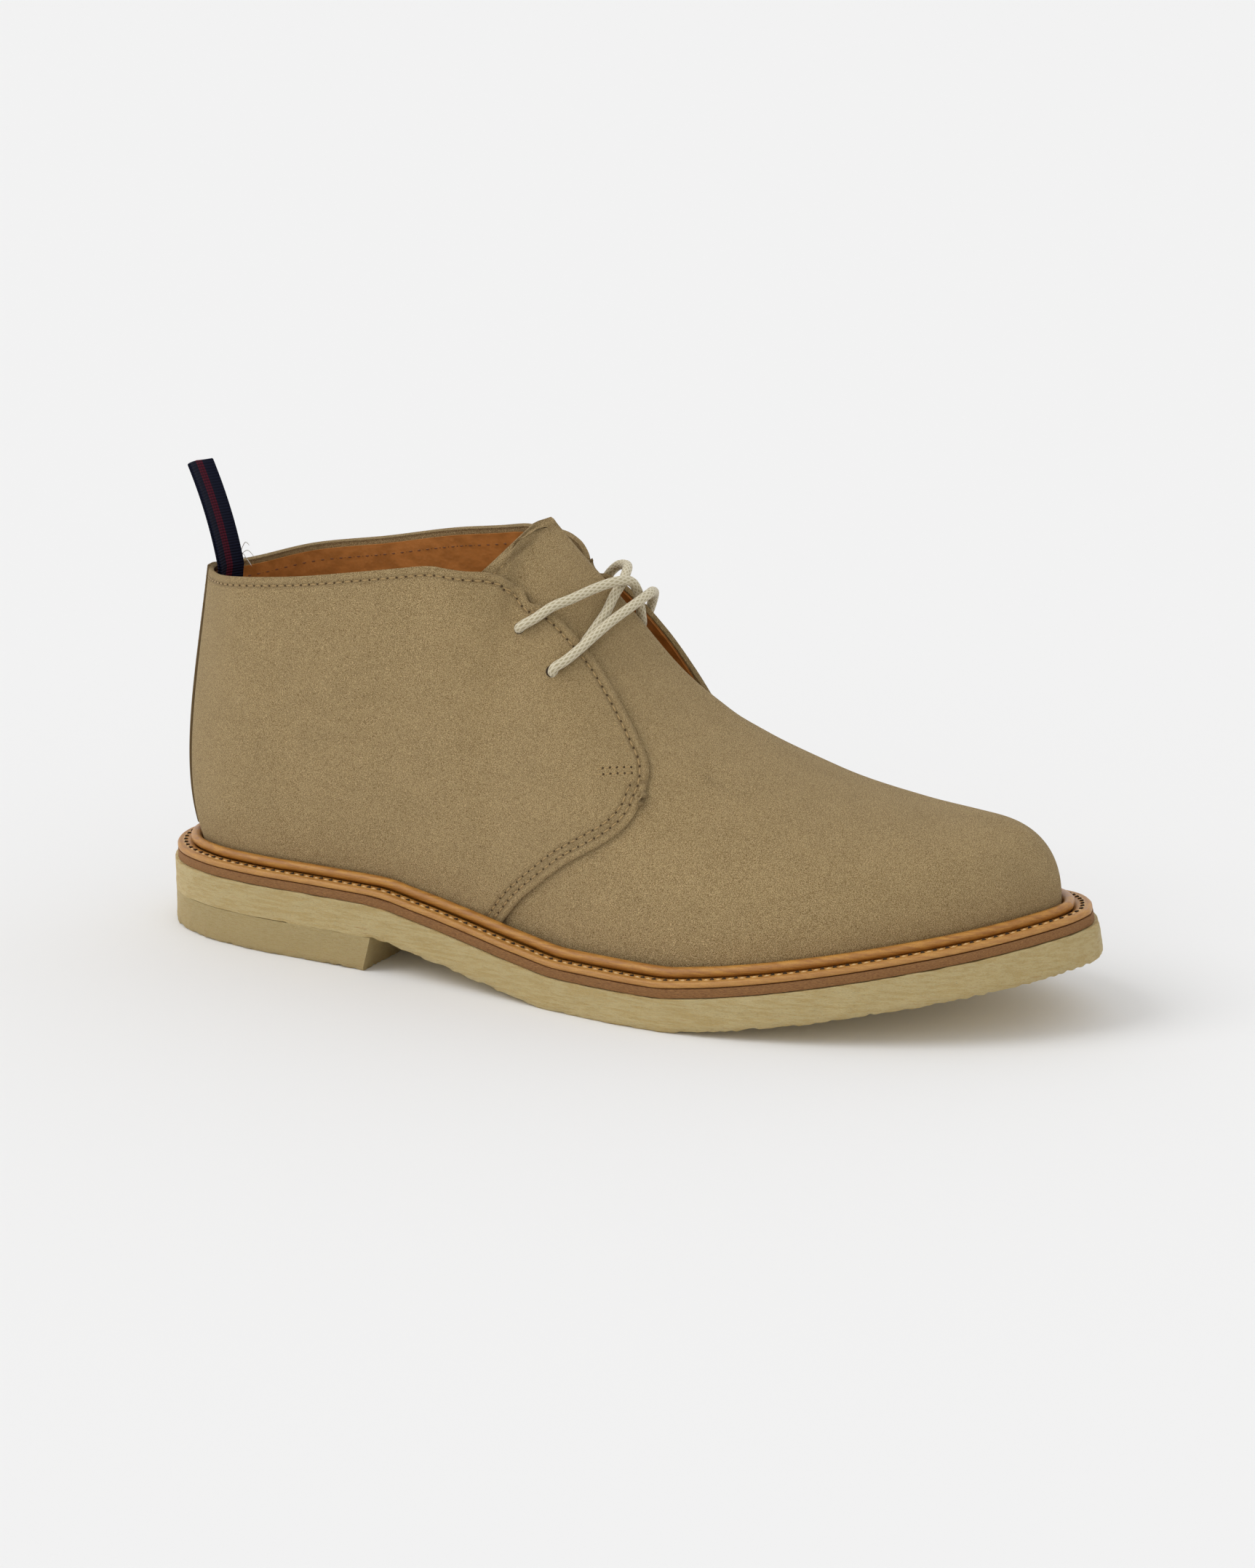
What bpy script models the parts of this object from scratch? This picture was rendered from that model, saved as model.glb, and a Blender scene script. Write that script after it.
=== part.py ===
"""Two-eyelet chukka boot, right foot: crepe sole and heel, leather midsole, storm welt,
hollow suede upper with its tongue cut in one with the vamp, insole, lace and pull loop.

Metres, +X to the toe, +Y to the inner (medial) side, +Z up. The floor is Z = 0 and the
heel's back is X = 0 before the whole model is centred over its own floor print.
"""
import math

import bmesh
import bpy
import numpy as np
from mathutils import Matrix

for old in list(bpy.data.objects):
    bpy.data.objects.remove(old, do_unlink=True)

# Sole: plan sizes
SOLE_LENGTH = 0.304
BALL_WIDTH = 0.109
WAIST_WIDTH = 0.0755
HEEL_WIDTH = 0.0745
BREAST_AT = 0.089          # heel breast, from the back of the heel

# Sole: thicknesses, from the floor up
LIFT = 0.0110              # crepe heel lift
SHEET = 0.0098             # crepe sheet that runs from heel to toe
TOE_SPRING = 0.0205        # underside of the sheet at the tip of the toe
MIDSOLE = 0.0026
FLANGE = 0.0018            # welt, where it lies flat on the midsole
INSOLE = 0.0030
SOLE_EDGE = 0.0010         # rounding of the crepe's lower edge
BREAST_RAKE = 0.0030       # the breast's foot lies this far behind its head

# Welt: what lies between the upper and the edge of the sole
WELT_INSET = 0.0008        # welt and midsole stand back from the crepe
FLANGE_WIDTH = 0.0052
BEAD_WIDTH = 0.0036
BEAD_RISE = 0.0032         # bead's crown above the flange
GROOVE = 0.0006            # crease between bead and flange

# Upper: heights are measured from the top of the midsole at the foot of each rib
COLLAR_HEIGHT = 0.0888     # at the back seam
QUARTER_HEIGHT = 0.1020    # collar at its front end
TONGUE_HEIGHT = 0.1226     # top of the tongue, on the centre line
INSTEP_HEIGHT = 0.0920     # ridge over the instep
TOE_HEIGHT = 0.0294        # toe box
WALL = 0.0022              # suede and its lining
VAMP_STEP = 0.0013         # vamp lies this much under the quarters' face
FLAP_AIR = 0.0009          # tongue to the underside of a loose flap
FLAP_LIFT = 0.0042         # inner flap stands this much off the tongue
STAY_WIDTH = 0.0140        # strip over the back seam
STAY_STEP = 0.0012
STAY_FOOT = 0.085          # share of the rib where it starts, above the welt's bead
SEAM_LAP = 0.0090          # vamp's margin under the quarters

# Small pieces
EYELET = 0.0042
EYELETS = ((0.424, 0.620), (0.473, 0.606))    # along and up each quarter, upper then lower
LACE = 0.0030
LACE_CLEAR = 0.0004
RIBBON_WIDTH = 0.0145
RIBBON = 0.0008
RIBBON_FOLD = 0.0008       # between the two layers, at the top
RIBBON_CLOSED = 0.0004     # and where it is tucked in
RIBBON_RISE = 0.0325       # above the collar
RIBBON_LEAN = 0.0104       # its top leans back by this much
RIBBON_START = 0.57        # share of the lean that is there from the collar up
RIBBON_TUCK = 0.0100
GAP = 0.0003               # between pieces that touch

# Half outlines of the sole. Shares: along SOLE_LENGTH, then of the width named in the row
#        along  width        outer  inner
OUTLINE = (
    (0.000, HEEL_WIDTH, 0.000, 0.000),
    (0.006, HEEL_WIDTH, 0.135, 0.135),
    (0.030, HEEL_WIDTH, 0.290, 0.290),
    (0.075, HEEL_WIDTH, 0.405, 0.405),
    (0.140, HEEL_WIDTH, 0.475, 0.482),
    (0.220, HEEL_WIDTH, 0.507, 0.493),
    (0.300, WAIST_WIDTH, 0.537, 0.461),
    (0.380, WAIST_WIDTH, 0.577, 0.427),
    (0.460, WAIST_WIDTH, 0.631, 0.447),
    (0.540, BALL_WIDTH, 0.477, 0.367),
    (0.620, BALL_WIDTH, 0.500, 0.450),
    (0.700, BALL_WIDTH, 0.484, 0.496),
    (0.780, BALL_WIDTH, 0.433, 0.502),
    (0.860, BALL_WIDTH, 0.341, 0.461),
    (0.925, BALL_WIDTH, 0.229, 0.376),
    (0.972, BALL_WIDTH, 0.102, 0.254),
    (0.994, BALL_WIDTH, 0.012, 0.140),
    (1.000, BALL_WIDTH, -0.064, 0.064),
)

# Underside of the crepe sheet above the floor. Shares: along, of the height named in the row
RISE = (
    (0.000, LIFT, 1.000),
    (0.285, LIFT, 1.000),
    (0.335, LIFT, 0.800),
    (0.395, LIFT, 0.500),
    (0.455, LIFT, 0.200),
    (0.515, LIFT, 0.000),
    (0.625, TOE_SPRING, 0.000),
    (0.672, TOE_SPRING, 0.070),
    (0.720, TOE_SPRING, 0.175),
    (0.785, TOE_SPRING, 0.345),
    (0.850, TOE_SPRING, 0.530),
    (0.920, TOE_SPRING, 0.740),
    (1.000, TOE_SPRING, 1.000),
)

# Ribs of the upper, from the back seam (0) round one side to the tip of the toe (1).
# Each rib is a Bezier curve from the feather line to the top line.
# along     share of that side's feather line
# x, y      top of the rib: shares of SOLE_LENGTH and BALL_WIDTH
# height    the named height that the rib's top follows, and its share
# foot_out  lower handle: bulge past the feather, share of BALL_WIDTH
# foot_up   and how far up, share of the rib's own height
# head_out  upper handle: reach outward from the top, share of BALL_WIDTH
# head_down and drop, share of the rib's own height
#  along   x      y       height          share   f_out  f_up   h_out  h_down
OUTER_RIBS = (
    (0.000, 0.0416, 0.000, COLLAR_HEIGHT, 1.000, 0.096, 0.250, 0.050, 0.390),
    (0.075, 0.0640, -0.128, COLLAR_HEIGHT, 1.004, 0.080, 0.255, 0.038, 0.390),
    (0.130, 0.1080, -0.232, COLLAR_HEIGHT, 1.020, 0.062, 0.260, 0.026, 0.390),
    (0.195, 0.1870, -0.275, COLLAR_HEIGHT, 1.050, 0.054, 0.265, 0.020, 0.380),
    (0.270, 0.2690, -0.280, QUARTER_HEIGHT, 0.951, 0.052, 0.275, 0.024, 0.365),
    (0.325, 0.3280, -0.262, QUARTER_HEIGHT, 0.998, 0.052, 0.300, 0.045, 0.340),
    (0.365, 0.3880, -0.218, TONGUE_HEIGHT, 0.870, 0.053, 0.330, 0.095, 0.280),
    (0.390, 0.4190, -0.122, TONGUE_HEIGHT, 0.930, 0.053, 0.360, 0.165, 0.190),
    (0.412, 0.4350, 0.006, TONGUE_HEIGHT, 0.994, 0.052, 0.395, 0.240, 0.102),
    (0.430, 0.4475, 0.008, TONGUE_HEIGHT, 0.968, 0.051, 0.412, 0.258, 0.095),
    (0.460, 0.4717, 0.012, INSTEP_HEIGHT, 1.218, 0.048, 0.445, 0.290, 0.074),
    (0.513, 0.5263, 0.018, INSTEP_HEIGHT, 1.057, 0.043, 0.490, 0.310, 0.048),
    (0.568, 0.5835, 0.022, INSTEP_HEIGHT, 0.860, 0.039, 0.520, 0.303, 0.030),
    (0.643, 0.6535, 0.028, INSTEP_HEIGHT, 0.692, 0.036, 0.530, 0.296, 0.015),
    (0.710, 0.7220, 0.032, TOE_HEIGHT, 1.745, 0.034, 0.520, 0.300, 0.000),
    (0.790, 0.7930, 0.036, TOE_HEIGHT, 1.395, 0.030, 0.520, 0.285, 0.000),
    (0.865, 0.8390, 0.040, TOE_HEIGHT, 1.172, 0.024, 0.555, 0.240, 0.000),
    (0.930, 0.8640, 0.044, TOE_HEIGHT, 1.035, 0.017, 0.600, 0.190, 0.000),
    (1.000, 0.8780, 0.046, TOE_HEIGHT, 0.948, 0.012, 0.640, 0.160, 0.000),
)
INNER_RIBS = (
    (0.000, 0.0416, 0.000, COLLAR_HEIGHT, 1.000, 0.096, 0.250, 0.050, 0.390),
    (0.075, 0.0640, 0.128, COLLAR_HEIGHT, 1.004, 0.080, 0.255, 0.038, 0.390),
    (0.130, 0.1080, 0.232, COLLAR_HEIGHT, 1.040, 0.064, 0.260, 0.026, 0.390),
    (0.195, 0.1870, 0.280, COLLAR_HEIGHT, 1.078, 0.062, 0.260, 0.024, 0.380),
    (0.270, 0.2690, 0.290, QUARTER_HEIGHT, 0.982, 0.076, 0.260, 0.036, 0.365),
    (0.325, 0.3280, 0.280, QUARTER_HEIGHT, 1.021, 0.088, 0.280, 0.060, 0.340),
    (0.365, 0.3880, 0.238, TONGUE_HEIGHT, 0.892, 0.092, 0.305, 0.105, 0.280),
    (0.390, 0.4190, 0.136, TONGUE_HEIGHT, 0.942, 0.090, 0.335, 0.180, 0.185),
    (0.412, 0.4350, 0.006, TONGUE_HEIGHT, 0.994, 0.082, 0.370, 0.255, 0.097),
    (0.430, 0.4475, 0.008, TONGUE_HEIGHT, 0.968, 0.078, 0.388, 0.276, 0.088),
    (0.460, 0.4717, 0.012, INSTEP_HEIGHT, 1.218, 0.070, 0.425, 0.320, 0.064),
    (0.513, 0.5263, 0.018, INSTEP_HEIGHT, 1.057, 0.056, 0.475, 0.335, 0.044),
    (0.568, 0.5835, 0.022, INSTEP_HEIGHT, 0.860, 0.045, 0.505, 0.313, 0.040),
    (0.643, 0.6535, 0.028, INSTEP_HEIGHT, 0.692, 0.038, 0.515, 0.295, 0.038),
    (0.710, 0.7220, 0.032, TOE_HEIGHT, 1.745, 0.034, 0.510, 0.290, 0.040),
    (0.790, 0.7930, 0.036, TOE_HEIGHT, 1.395, 0.030, 0.510, 0.280, 0.040),
    (0.865, 0.8390, 0.040, TOE_HEIGHT, 1.172, 0.024, 0.550, 0.240, 0.030),
    (0.930, 0.8640, 0.044, TOE_HEIGHT, 1.035, 0.017, 0.600, 0.190, 0.010),
    (1.000, 0.8780, 0.046, TOE_HEIGHT, 0.948, 0.012, 0.640, 0.160, 0.000),
)

# Front edge of each quarter on the ribs' own grid: along and up are shares of a side and a rib
SEAM = ((0.412, 0.000), (0.433, 0.060), (0.460, 0.120), (0.489, 0.177), (0.517, 0.227),
        (0.539, 0.277), (0.559, 0.340), (0.571, 0.400), (0.577, 0.475))
FACING = ((0.577, 0.475), (0.579, 0.535), (0.574, 0.594), (0.558, 0.645), (0.534, 0.696),
          (0.510, 0.729), (0.487, 0.741), (0.466, 0.744), (0.446, 0.733), (0.428, 0.711),
          (0.412, 0.722), (0.398, 0.798), (0.384, 0.890), (0.367, 0.960), (0.338, 1.000))
# Free edge of the tongue under the loose flaps, from the seam's margin to its top corner
TONGUE_EDGE = ((0.545, 0.400), (0.543, 0.490), (0.532, 0.555), (0.512, 0.602), (0.485, 0.632),
               (0.457, 0.650), (0.430, 0.664), (0.408, 0.694), (0.390, 0.760), (0.376, 0.835),
               (0.366, 0.900), (0.364, 0.938), (0.372, 0.960), (0.383, 0.980), (0.403, 1.000))
# Lace runs: side, along, up, height of the run's middle above the ribs' surface
ON_FLAP = 0.5 * LACE + LACE_CLEAR
ON_INNER = FLAP_LIFT + ON_FLAP
ON_TONGUE = ON_FLAP - WALL - FLAP_AIR
LOW_RUN = (
    (1, *EYELETS[0], ON_INNER + 2 * LACE_CLEAR),
    (1, 0.437, 0.690, ON_INNER),
    (1, 0.453, 0.760, ON_INNER),
    (1, 0.470, 0.835, 0.0054),
    (1, 0.482, 0.910, 0.0032),
    (1, 0.489, 0.968, 0.0008),
    (-1, 0.494, 0.960, -0.0009),
    (-1, 0.498, 0.888, ON_TONGUE),
    (-1, 0.498, 0.822, ON_TONGUE),
)
MIDDLE_RUN = (
    (-1, *EYELETS[0], ON_FLAP),
    (-1, 0.443, 0.676, ON_FLAP),
    (-1, 0.458, 0.749, ON_FLAP),
    (-1, 0.471, 0.812, ON_FLAP),
    (-1, 0.481, 0.890, 0.0014),
    (-1, 0.488, 0.955, 0.0014),
    (1, 0.493, 0.985, 0.0018),
    (1, 0.499, 0.930, 0.0014),
    (1, 0.503, 0.880, 0.0002),
    (1, 0.505, 0.840, -0.0006),
)
HIGH_RUN = (
    (-1, *EYELETS[1], ON_FLAP),
    (-1, 0.484, 0.650, ON_FLAP),
    (-1, 0.493, 0.706, ON_FLAP),
    (-1, 0.500, 0.772, ON_FLAP),
    (-1, 0.505, 0.850, ON_FLAP),
    (-1, 0.507, 0.940, 0.0012),
    (1, 0.506, 0.960, 0.0020),
    (1, 0.502, 0.890, 0.0038),
    (1, 0.495, 0.800, 0.0062),
    (1, 0.486, 0.710, ON_INNER),
    (1, *EYELETS[1], ON_INNER),
)
RIDGE_FROM = 0.412         # rib whose top is the middle of the tongue's top edge

OUTER, INNER = -1, 1


def slopes(x, y):
    """Slopes that keep a cubic through the rows from overshooting."""
    h = np.diff(x)[:, None]
    d = np.diff(y, axis=0) / h
    m = np.zeros_like(y)
    m[0], m[-1] = d[0], d[-1]
    before, after = d[:-1], d[1:]
    same = before * after > 0
    w1 = 2 * h[1:] + h[:-1]
    w2 = h[1:] + 2 * h[:-1]
    safe_before = np.where(same, before, 1)
    safe_after = np.where(same, after, 1)
    m[1:-1] = np.where(same, (w1 + w2) / (w1 / safe_before + w2 / safe_after), 0)
    return m


def between(x, y, at, flowing=False):
    """Smooth curve through the rows of y at the places x, read at `at`."""
    x = np.asarray(x, float)
    y = np.asarray(y, float)
    flat = y.ndim == 1
    y = y.reshape(len(x), -1)
    if flowing:
        m = np.gradient(y, x, axis=0, edge_order=2 if len(x) > 2 else 1)
    else:
        m = slopes(x, y)
    at = np.clip(np.asarray(at, float), x[0], x[-1])
    i = np.clip(np.searchsorted(x, at, side="right") - 1, 0, len(x) - 2)
    h = x[i + 1] - x[i]
    u = ((at - x[i]) / h)[..., None]
    h = h[..., None]
    out = ((1 + 2 * u) * (1 - u) ** 2 * y[i] + u * (1 - u) ** 2 * h * m[i]
           + u * u * (3 - 2 * u) * y[i + 1] + u * u * (u - 1) * h * m[i + 1])
    return out[..., 0] if flat else out


def ramp(value, start, end):
    """0 before start, 1 after end, smooth between."""
    u = np.clip((value - start) / (end - start), 0, 1)
    return u * u * (3 - 2 * u)


def rise(x):
    """Underside of the crepe sheet above the floor at x."""
    return between([r[0] * SOLE_LENGTH for r in RISE], [r[1] * r[2] for r in RISE], x)


def rise_slope(x):
    step = 0.001
    return (rise(x + step) - rise(x - step)) / (2 * step)


def stretch(x):
    """Height straight up for each unit of height square to the sole."""
    return np.sqrt(1 + rise_slope(x) ** 2)


def half_outline(side, inset=0.0, count=400):
    """Plan of one side of the sole, from the back of the heel to the tip of the toe."""
    column = 2 if side == OUTER else 3
    pts = np.array([(r[0] * SOLE_LENGTH, side * r[column] * r[1]) for r in OUTLINE])
    # mirrored neighbours at both ends, so the curve leaves and arrives square to the centre line
    before = pts[1] * (1, -1)
    after = pts[-2] * (1, -1) + (0, 2 * pts[-1, 1])
    pts = np.r_[[before], pts, [after]]
    chord = np.r_[0, np.cumsum(np.hypot(*np.diff(pts, axis=0).T))]
    line = between(chord, pts, np.linspace(chord[1], chord[-2], count), flowing=True)
    if inset:
        run = np.gradient(line, axis=0)
        run /= np.linalg.norm(run, axis=1)[:, None]
        run[0], run[-1] = (0, side), (0, -side)
        line = line + inset * side * np.c_[run[:, 1], -run[:, 0]]
    return line


def even(line, count):
    """The same line with `count` evenly spaced points."""
    arc = np.r_[0, np.cumsum(np.linalg.norm(np.diff(line, axis=0), axis=1))]
    want = np.linspace(0, arc[-1], count)
    return np.stack([np.interp(want, arc, line[:, k]) for k in range(line.shape[1])], axis=1)


def stations(line, count):
    """The same line at places along X that both sides share, closer at its two ends."""
    share = 0.5 - 0.5 * np.cos(np.linspace(0, math.pi, count + 1))
    x = line[0, 0] + (line[-1, 0] - line[0, 0]) * share
    forward = np.maximum.accumulate(line[:, 0])
    rest = [np.interp(x, forward, line[:, k]) for k in range(1, line.shape[1])]
    return np.stack([x, *rest], axis=1)


def plan_loop(inset, count):
    """Whole outline: outer side from the heel to the toe, then the inner side back again."""
    outer = stations(half_outline(OUTER, inset), count)
    inner = stations(half_outline(INNER, inset), count)
    return np.r_[outer, inner[-2:0:-1]]


def lifted(loop, height):
    """Plan points set at a height above the sheet's underside, square to it."""
    slope = rise_slope(loop[:, 0])
    c = 1 / stretch(loop[:, 0])
    return np.c_[loop[:, 0] - height * slope * c, loop[:, 1], rise(loop[:, 0]) + height * c]


MIDSOLE_TOP = SHEET + MIDSOLE + 2 * GAP
UPPER_FOOT = MIDSOLE_TOP + GAP
WELT_REACH = WELT_INSET + FLANGE_WIDTH + BEAD_WIDTH + GAP


class Side:
    """One side of the upper's outer surface, as a grid of ribs."""

    def __init__(self, side, rows):
        self.side = side
        self.along = np.array([r[0] for r in rows])
        feather = even(half_outline(side, WELT_REACH), 401)
        self.feather = lifted(feather, UPPER_FOOT)
        run = np.gradient(feather, axis=0)
        run /= np.linalg.norm(run, axis=1)[:, None]
        run[0], run[-1] = (0, side), (0, -side)
        self.out = -side * np.c_[run[:, 1], -run[:, 0], np.zeros(len(run))]
        share = np.linspace(0, 1, 401)
        feet = np.stack([np.interp(self.along, share, self.feather[:, k]) for k in range(3)], 1)
        outs = np.stack([np.interp(self.along, share, self.out[:, k]) for k in range(3)], 1)
        tops, lows, highs = [], [], []
        for foot, out, row in zip(feet, outs, rows):
            _, x, y, height, part, foot_out, foot_up, head_out, head_down = row
            tall = height * part
            top = np.array([x * SOLE_LENGTH, y * BALL_WIDTH, foot[2] + tall])
            up = np.array([0, 0, tall])
            tops.append(top)
            lows.append(foot_out * BALL_WIDTH * out + foot_up * up)
            highs.append(head_out * BALL_WIDTH * out - head_down * up)
        self.tops, self.lows, self.highs = np.array(tops), np.array(lows), np.array(highs)

    def base(self, s, t):
        """Outer surface at s along the side and t up the rib."""
        s, t = np.broadcast_arrays(np.asarray(s, float), np.asarray(t, float))
        share = np.linspace(0, 1, 401)
        foot = np.stack([np.interp(s, share, self.feather[:, k]) for k in range(3)], -1)
        top = between(self.along, self.tops, s, flowing=True)
        low = foot + between(self.along, self.lows, s, flowing=True)
        high = top + between(self.along, self.highs, s, flowing=True)
        t = t[..., None]
        return ((1 - t) ** 3 * foot + 3 * t * (1 - t) ** 2 * low
                + 3 * t * t * (1 - t) * high + t ** 3 * top)

    def normal(self, s, t):
        """Unit normal of the surface, pointing out of the boot."""
        d = 0.004
        s, t = np.broadcast_arrays(np.asarray(s, float), np.asarray(t, float))
        s0, s1 = np.clip(s - d, 0, 1), np.clip(s + d, 0, 1)
        t0, t1 = np.clip(t - d, 0, 1), np.clip(t + d, 0, 1)
        n = np.cross(self.base(s1, t) - self.base(s0, t), self.base(s, t1) - self.base(s, t0))
        n = n * -self.side
        # on the centre line both sides share a normal with no sideways part
        ridge = ramp(s, RIDGE_FROM - 0.04, RIDGE_FROM) * (1 - ramp(1 - t, 0, 0.12))
        ends = 1 - ramp(s, 0, 0.01) + ramp(s, 0.97, 1)
        n[..., 1] *= (1 - ridge) * (1 - ends)
        return n / np.maximum(np.linalg.norm(n, axis=-1), 1e-12)[..., None]

    def at(self, s, t, out):
        """Point of the surface moved out along its normal."""
        return self.base(s, t) + np.asarray(out, float)[..., None] * self.normal(s, t)


SIDES = (Side(OUTER, OUTER_RIBS), Side(INNER, INNER_RIBS))


def edge(rows, at):
    """Panel edge on the ribs' grid, read at shares of its own length."""
    rows = np.array(rows)
    chord = np.r_[0, np.cumsum(np.hypot(*(np.diff(rows, axis=0) * (1.0, 0.35)).T))]
    return between(chord / chord[-1], rows, at, flowing=True)


def four_sided(foot, head, back, front, columns, ups):
    """Grid of (along, up) pairs between four edges that meet at their corners."""
    u = np.linspace(0, 1, columns)[:, None, None]
    v = np.asarray(ups)[None, :, None]
    f, h = foot(u[:, 0, 0])[:, None], head(u[:, 0, 0])[:, None]
    b, r = back(v[0, :, 0])[None], front(v[0, :, 0])[None]
    corner = ((1 - u) * (1 - v) * f[:1] + u * (1 - v) * f[-1:]
              + (1 - u) * v * h[:1] + u * v * h[-1:])
    return (1 - v) * f + v * h + (1 - u) * b + u * r - corner


def new_object(name, verts, faces, material=None, parts=True):
    mesh = bpy.data.meshes.new(name)
    mesh.from_pydata([tuple(v) for v in verts], [], [tuple(f) for f in faces])
    obj = bpy.data.objects.new(name, mesh)
    (PARTS if parts else GUIDES).objects.link(obj)
    if material:
        mesh.materials.append(material)
    if not parts:
        obj.hide_render = True
        obj.display_type = "WIRE"
    return obj


def tidy(obj, weld=0.00002):
    """Weld doubles, face outwards and shade smooth across soft edges."""
    bm = bmesh.new()
    bm.from_mesh(obj.data)
    bmesh.ops.remove_doubles(bm, verts=bm.verts, dist=weld)
    bmesh.ops.recalc_face_normals(bm, faces=bm.faces)
    bm.to_mesh(obj.data)
    bm.free()
    obj.data.shade_smooth()
    obj.data.set_sharp_from_angle(angle=math.radians(35))


def material(name, colour, roughness):
    mat = bpy.data.materials.new(name)
    mat.use_nodes = True
    shader = mat.node_tree.nodes["Principled BSDF"]
    shader.inputs["Base Color"].default_value = (*colour, 1)
    shader.inputs["Roughness"].default_value = roughness
    shader.inputs["Metallic"].default_value = 0
    return mat


def plate(name, loops, mat, parts=True):
    """Solid between closed loops stacked from the floor up. Every loop runs from the back
    along the outer side to the front and back along the inner side, so caps are cross strips."""
    n = len(loops[0])
    verts = np.concatenate(loops)
    faces = []
    for k in range(len(loops) - 1):
        for i in range(n):
            j = (i + 1) % n
            faces.append((k * n + i, k * n + j, (k + 1) * n + j, (k + 1) * n + i))
    for base, flip in ((0, True), ((len(loops) - 1) * n, False)):
        for i in range(n // 2):
            strip = [base + i, base + i + 1, base + (n - i - 1) % n, base + (n - i) % n]
            strip = list(dict.fromkeys(strip))
            faces.append(tuple(strip[::-1] if flip else strip))
    obj = new_object(name, verts, faces, mat, parts)
    tidy(obj)
    return obj


def crepe_sheet(mat):
    tuck = SOLE_EDGE
    loops = [lifted(plan_loop(tuck, SOLE_STEPS), 0),
             lifted(plan_loop(0.3 * tuck, SOLE_STEPS), 0.3 * tuck),
             lifted(plan_loop(0, SOLE_STEPS), 1.2 * tuck),
             lifted(plan_loop(0, SOLE_STEPS), SHEET)]
    return plate("outsole", loops, mat)


def heel_loop(inset, x_front, count):
    """Outline of the heel lift, cut square at the breast."""
    halves = []
    for side in (OUTER, INNER):
        line = half_outline(side, inset)
        keep = line[line[:, 0] < x_front]
        y = np.interp(x_front, line[:, 0], line[:, 1])
        halves.append(even(np.r_[keep, [(x_front, y)]], count))
    return np.r_[halves[0], halves[1][:0:-1]]


def heel_lift(mat):
    """The lift's loops close across the breast between their two front corners."""
    top = LIFT - GAP
    levels = ((0, SOLE_EDGE), (0.3 * SOLE_EDGE, 0.3 * SOLE_EDGE), (1.2 * SOLE_EDGE, 0), (top, 0))
    loops = []
    for z, inset in levels:
        front = BREAST_AT - BREAST_RAKE * (1 - z / top)
        loop = heel_loop(inset, front, HEEL_STEPS)
        loops.append(np.c_[loop, np.full(len(loop), z)])
    n = len(loops[0])
    verts = np.concatenate(loops)
    faces = []
    for k in range(len(loops) - 1):
        for i in range(n):
            j = (i + 1) % n
            faces.append((k * n + i, k * n + j, (k + 1) * n + j, (k + 1) * n + i))
    for base, flip in ((0, True), ((len(loops) - 1) * n, False)):
        for i in range(HEEL_STEPS - 1):
            strip = [base + i, base + i + 1, base + (n - i - 1) % n, base + (n - i) % n]
            strip = list(dict.fromkeys(strip))
            faces.append(tuple(strip[::-1] if flip else strip))
    obj = new_object("heel", verts, faces, mat)
    tidy(obj)
    return obj


def leather_midsole(mat):
    foot = SHEET + GAP
    loops = [lifted(plan_loop(WELT_INSET, SOLE_STEPS), foot),
             lifted(plan_loop(WELT_INSET, SOLE_STEPS), foot + MIDSOLE)]
    return plate("midsole", loops, mat)


def storm_welt(mat):
    """Flat flange with a rounded bead that stands against the upper, all the way round."""
    foot = MIDSOLE_TOP
    bead_out = WELT_REACH - GAP - BEAD_WIDTH
    # inset from the sole's edge and height above the foot of the welt, round the flange
    flange = (
        (WELT_INSET, 0),
        (WELT_INSET, FLANGE * 0.75),
        (WELT_INSET + FLANGE * 0.25, FLANGE),
        (bead_out - GROOVE, FLANGE),
        (bead_out, FLANGE - GROOVE),
    )
    # share of the bead's rise and of its width out from the upper, over the bead
    bead = ((0.42, 0.92), (0.80, 0.74), (1.00, 0.36), (0.86, 0.0))
    loops = [lifted(plan_loop(inset, SOLE_STEPS), foot + up) for inset, up in flange]
    loops += [upper_ring(foot + FLANGE + up * BEAD_RISE, SOLE_STEPS, out * BEAD_WIDTH)
              for up, out in bead]
    loops += [upper_ring(foot + up, SOLE_STEPS) for up in (0.30 * FLANGE, 0)]
    n = len(loops[0])
    k = len(loops)
    faces = [(a * n + i, a * n + (i + 1) % n, (a + 1) % k * n + (i + 1) % n, (a + 1) % k * n + i)
             for a in range(k) for i in range(n)]
    obj = new_object("welt", np.concatenate(loops), faces, mat)
    tidy(obj)
    return obj


def upper_ring(height, count, out=0.0):
    """Line round the upper at a height above the sheet's underside, just clear of it."""
    halves = []
    for side in SIDES:
        s = np.linspace(0, 1, 161)
        t = np.linspace(0, 0.35, 60)
        grid = side.base(s[:, None], t[None])
        level = (grid[..., 2] - rise(grid[..., 0])) / stretch(grid[..., 0])
        line = []
        for i in range(len(s)):
            at = float(np.interp(height, level[i], t)) if height > level[i, 0] else 0.0
            p, n = side.base(s[i], at), side.normal(s[i], at)
            flat = np.array([n[0], n[1], 0])
            q = p + (1.5 * GAP + out) * flat / np.linalg.norm(flat)
            q[2] = rise(q[0]) + height * stretch(q[0])
            line.append(q)
        halves.append(stations(np.array(line), count))
    return np.r_[halves[0], halves[1][-2:0:-1]]


def lift_of(side, s, t):
    """How far the inner flap stands off at its front corner."""
    if side.side == OUTER:
        return np.zeros(np.broadcast(s, t).shape)
    return FLAP_LIFT * ramp(t, 0.44, 0.68) * ramp(s, 0.24, 0.40)


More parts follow.
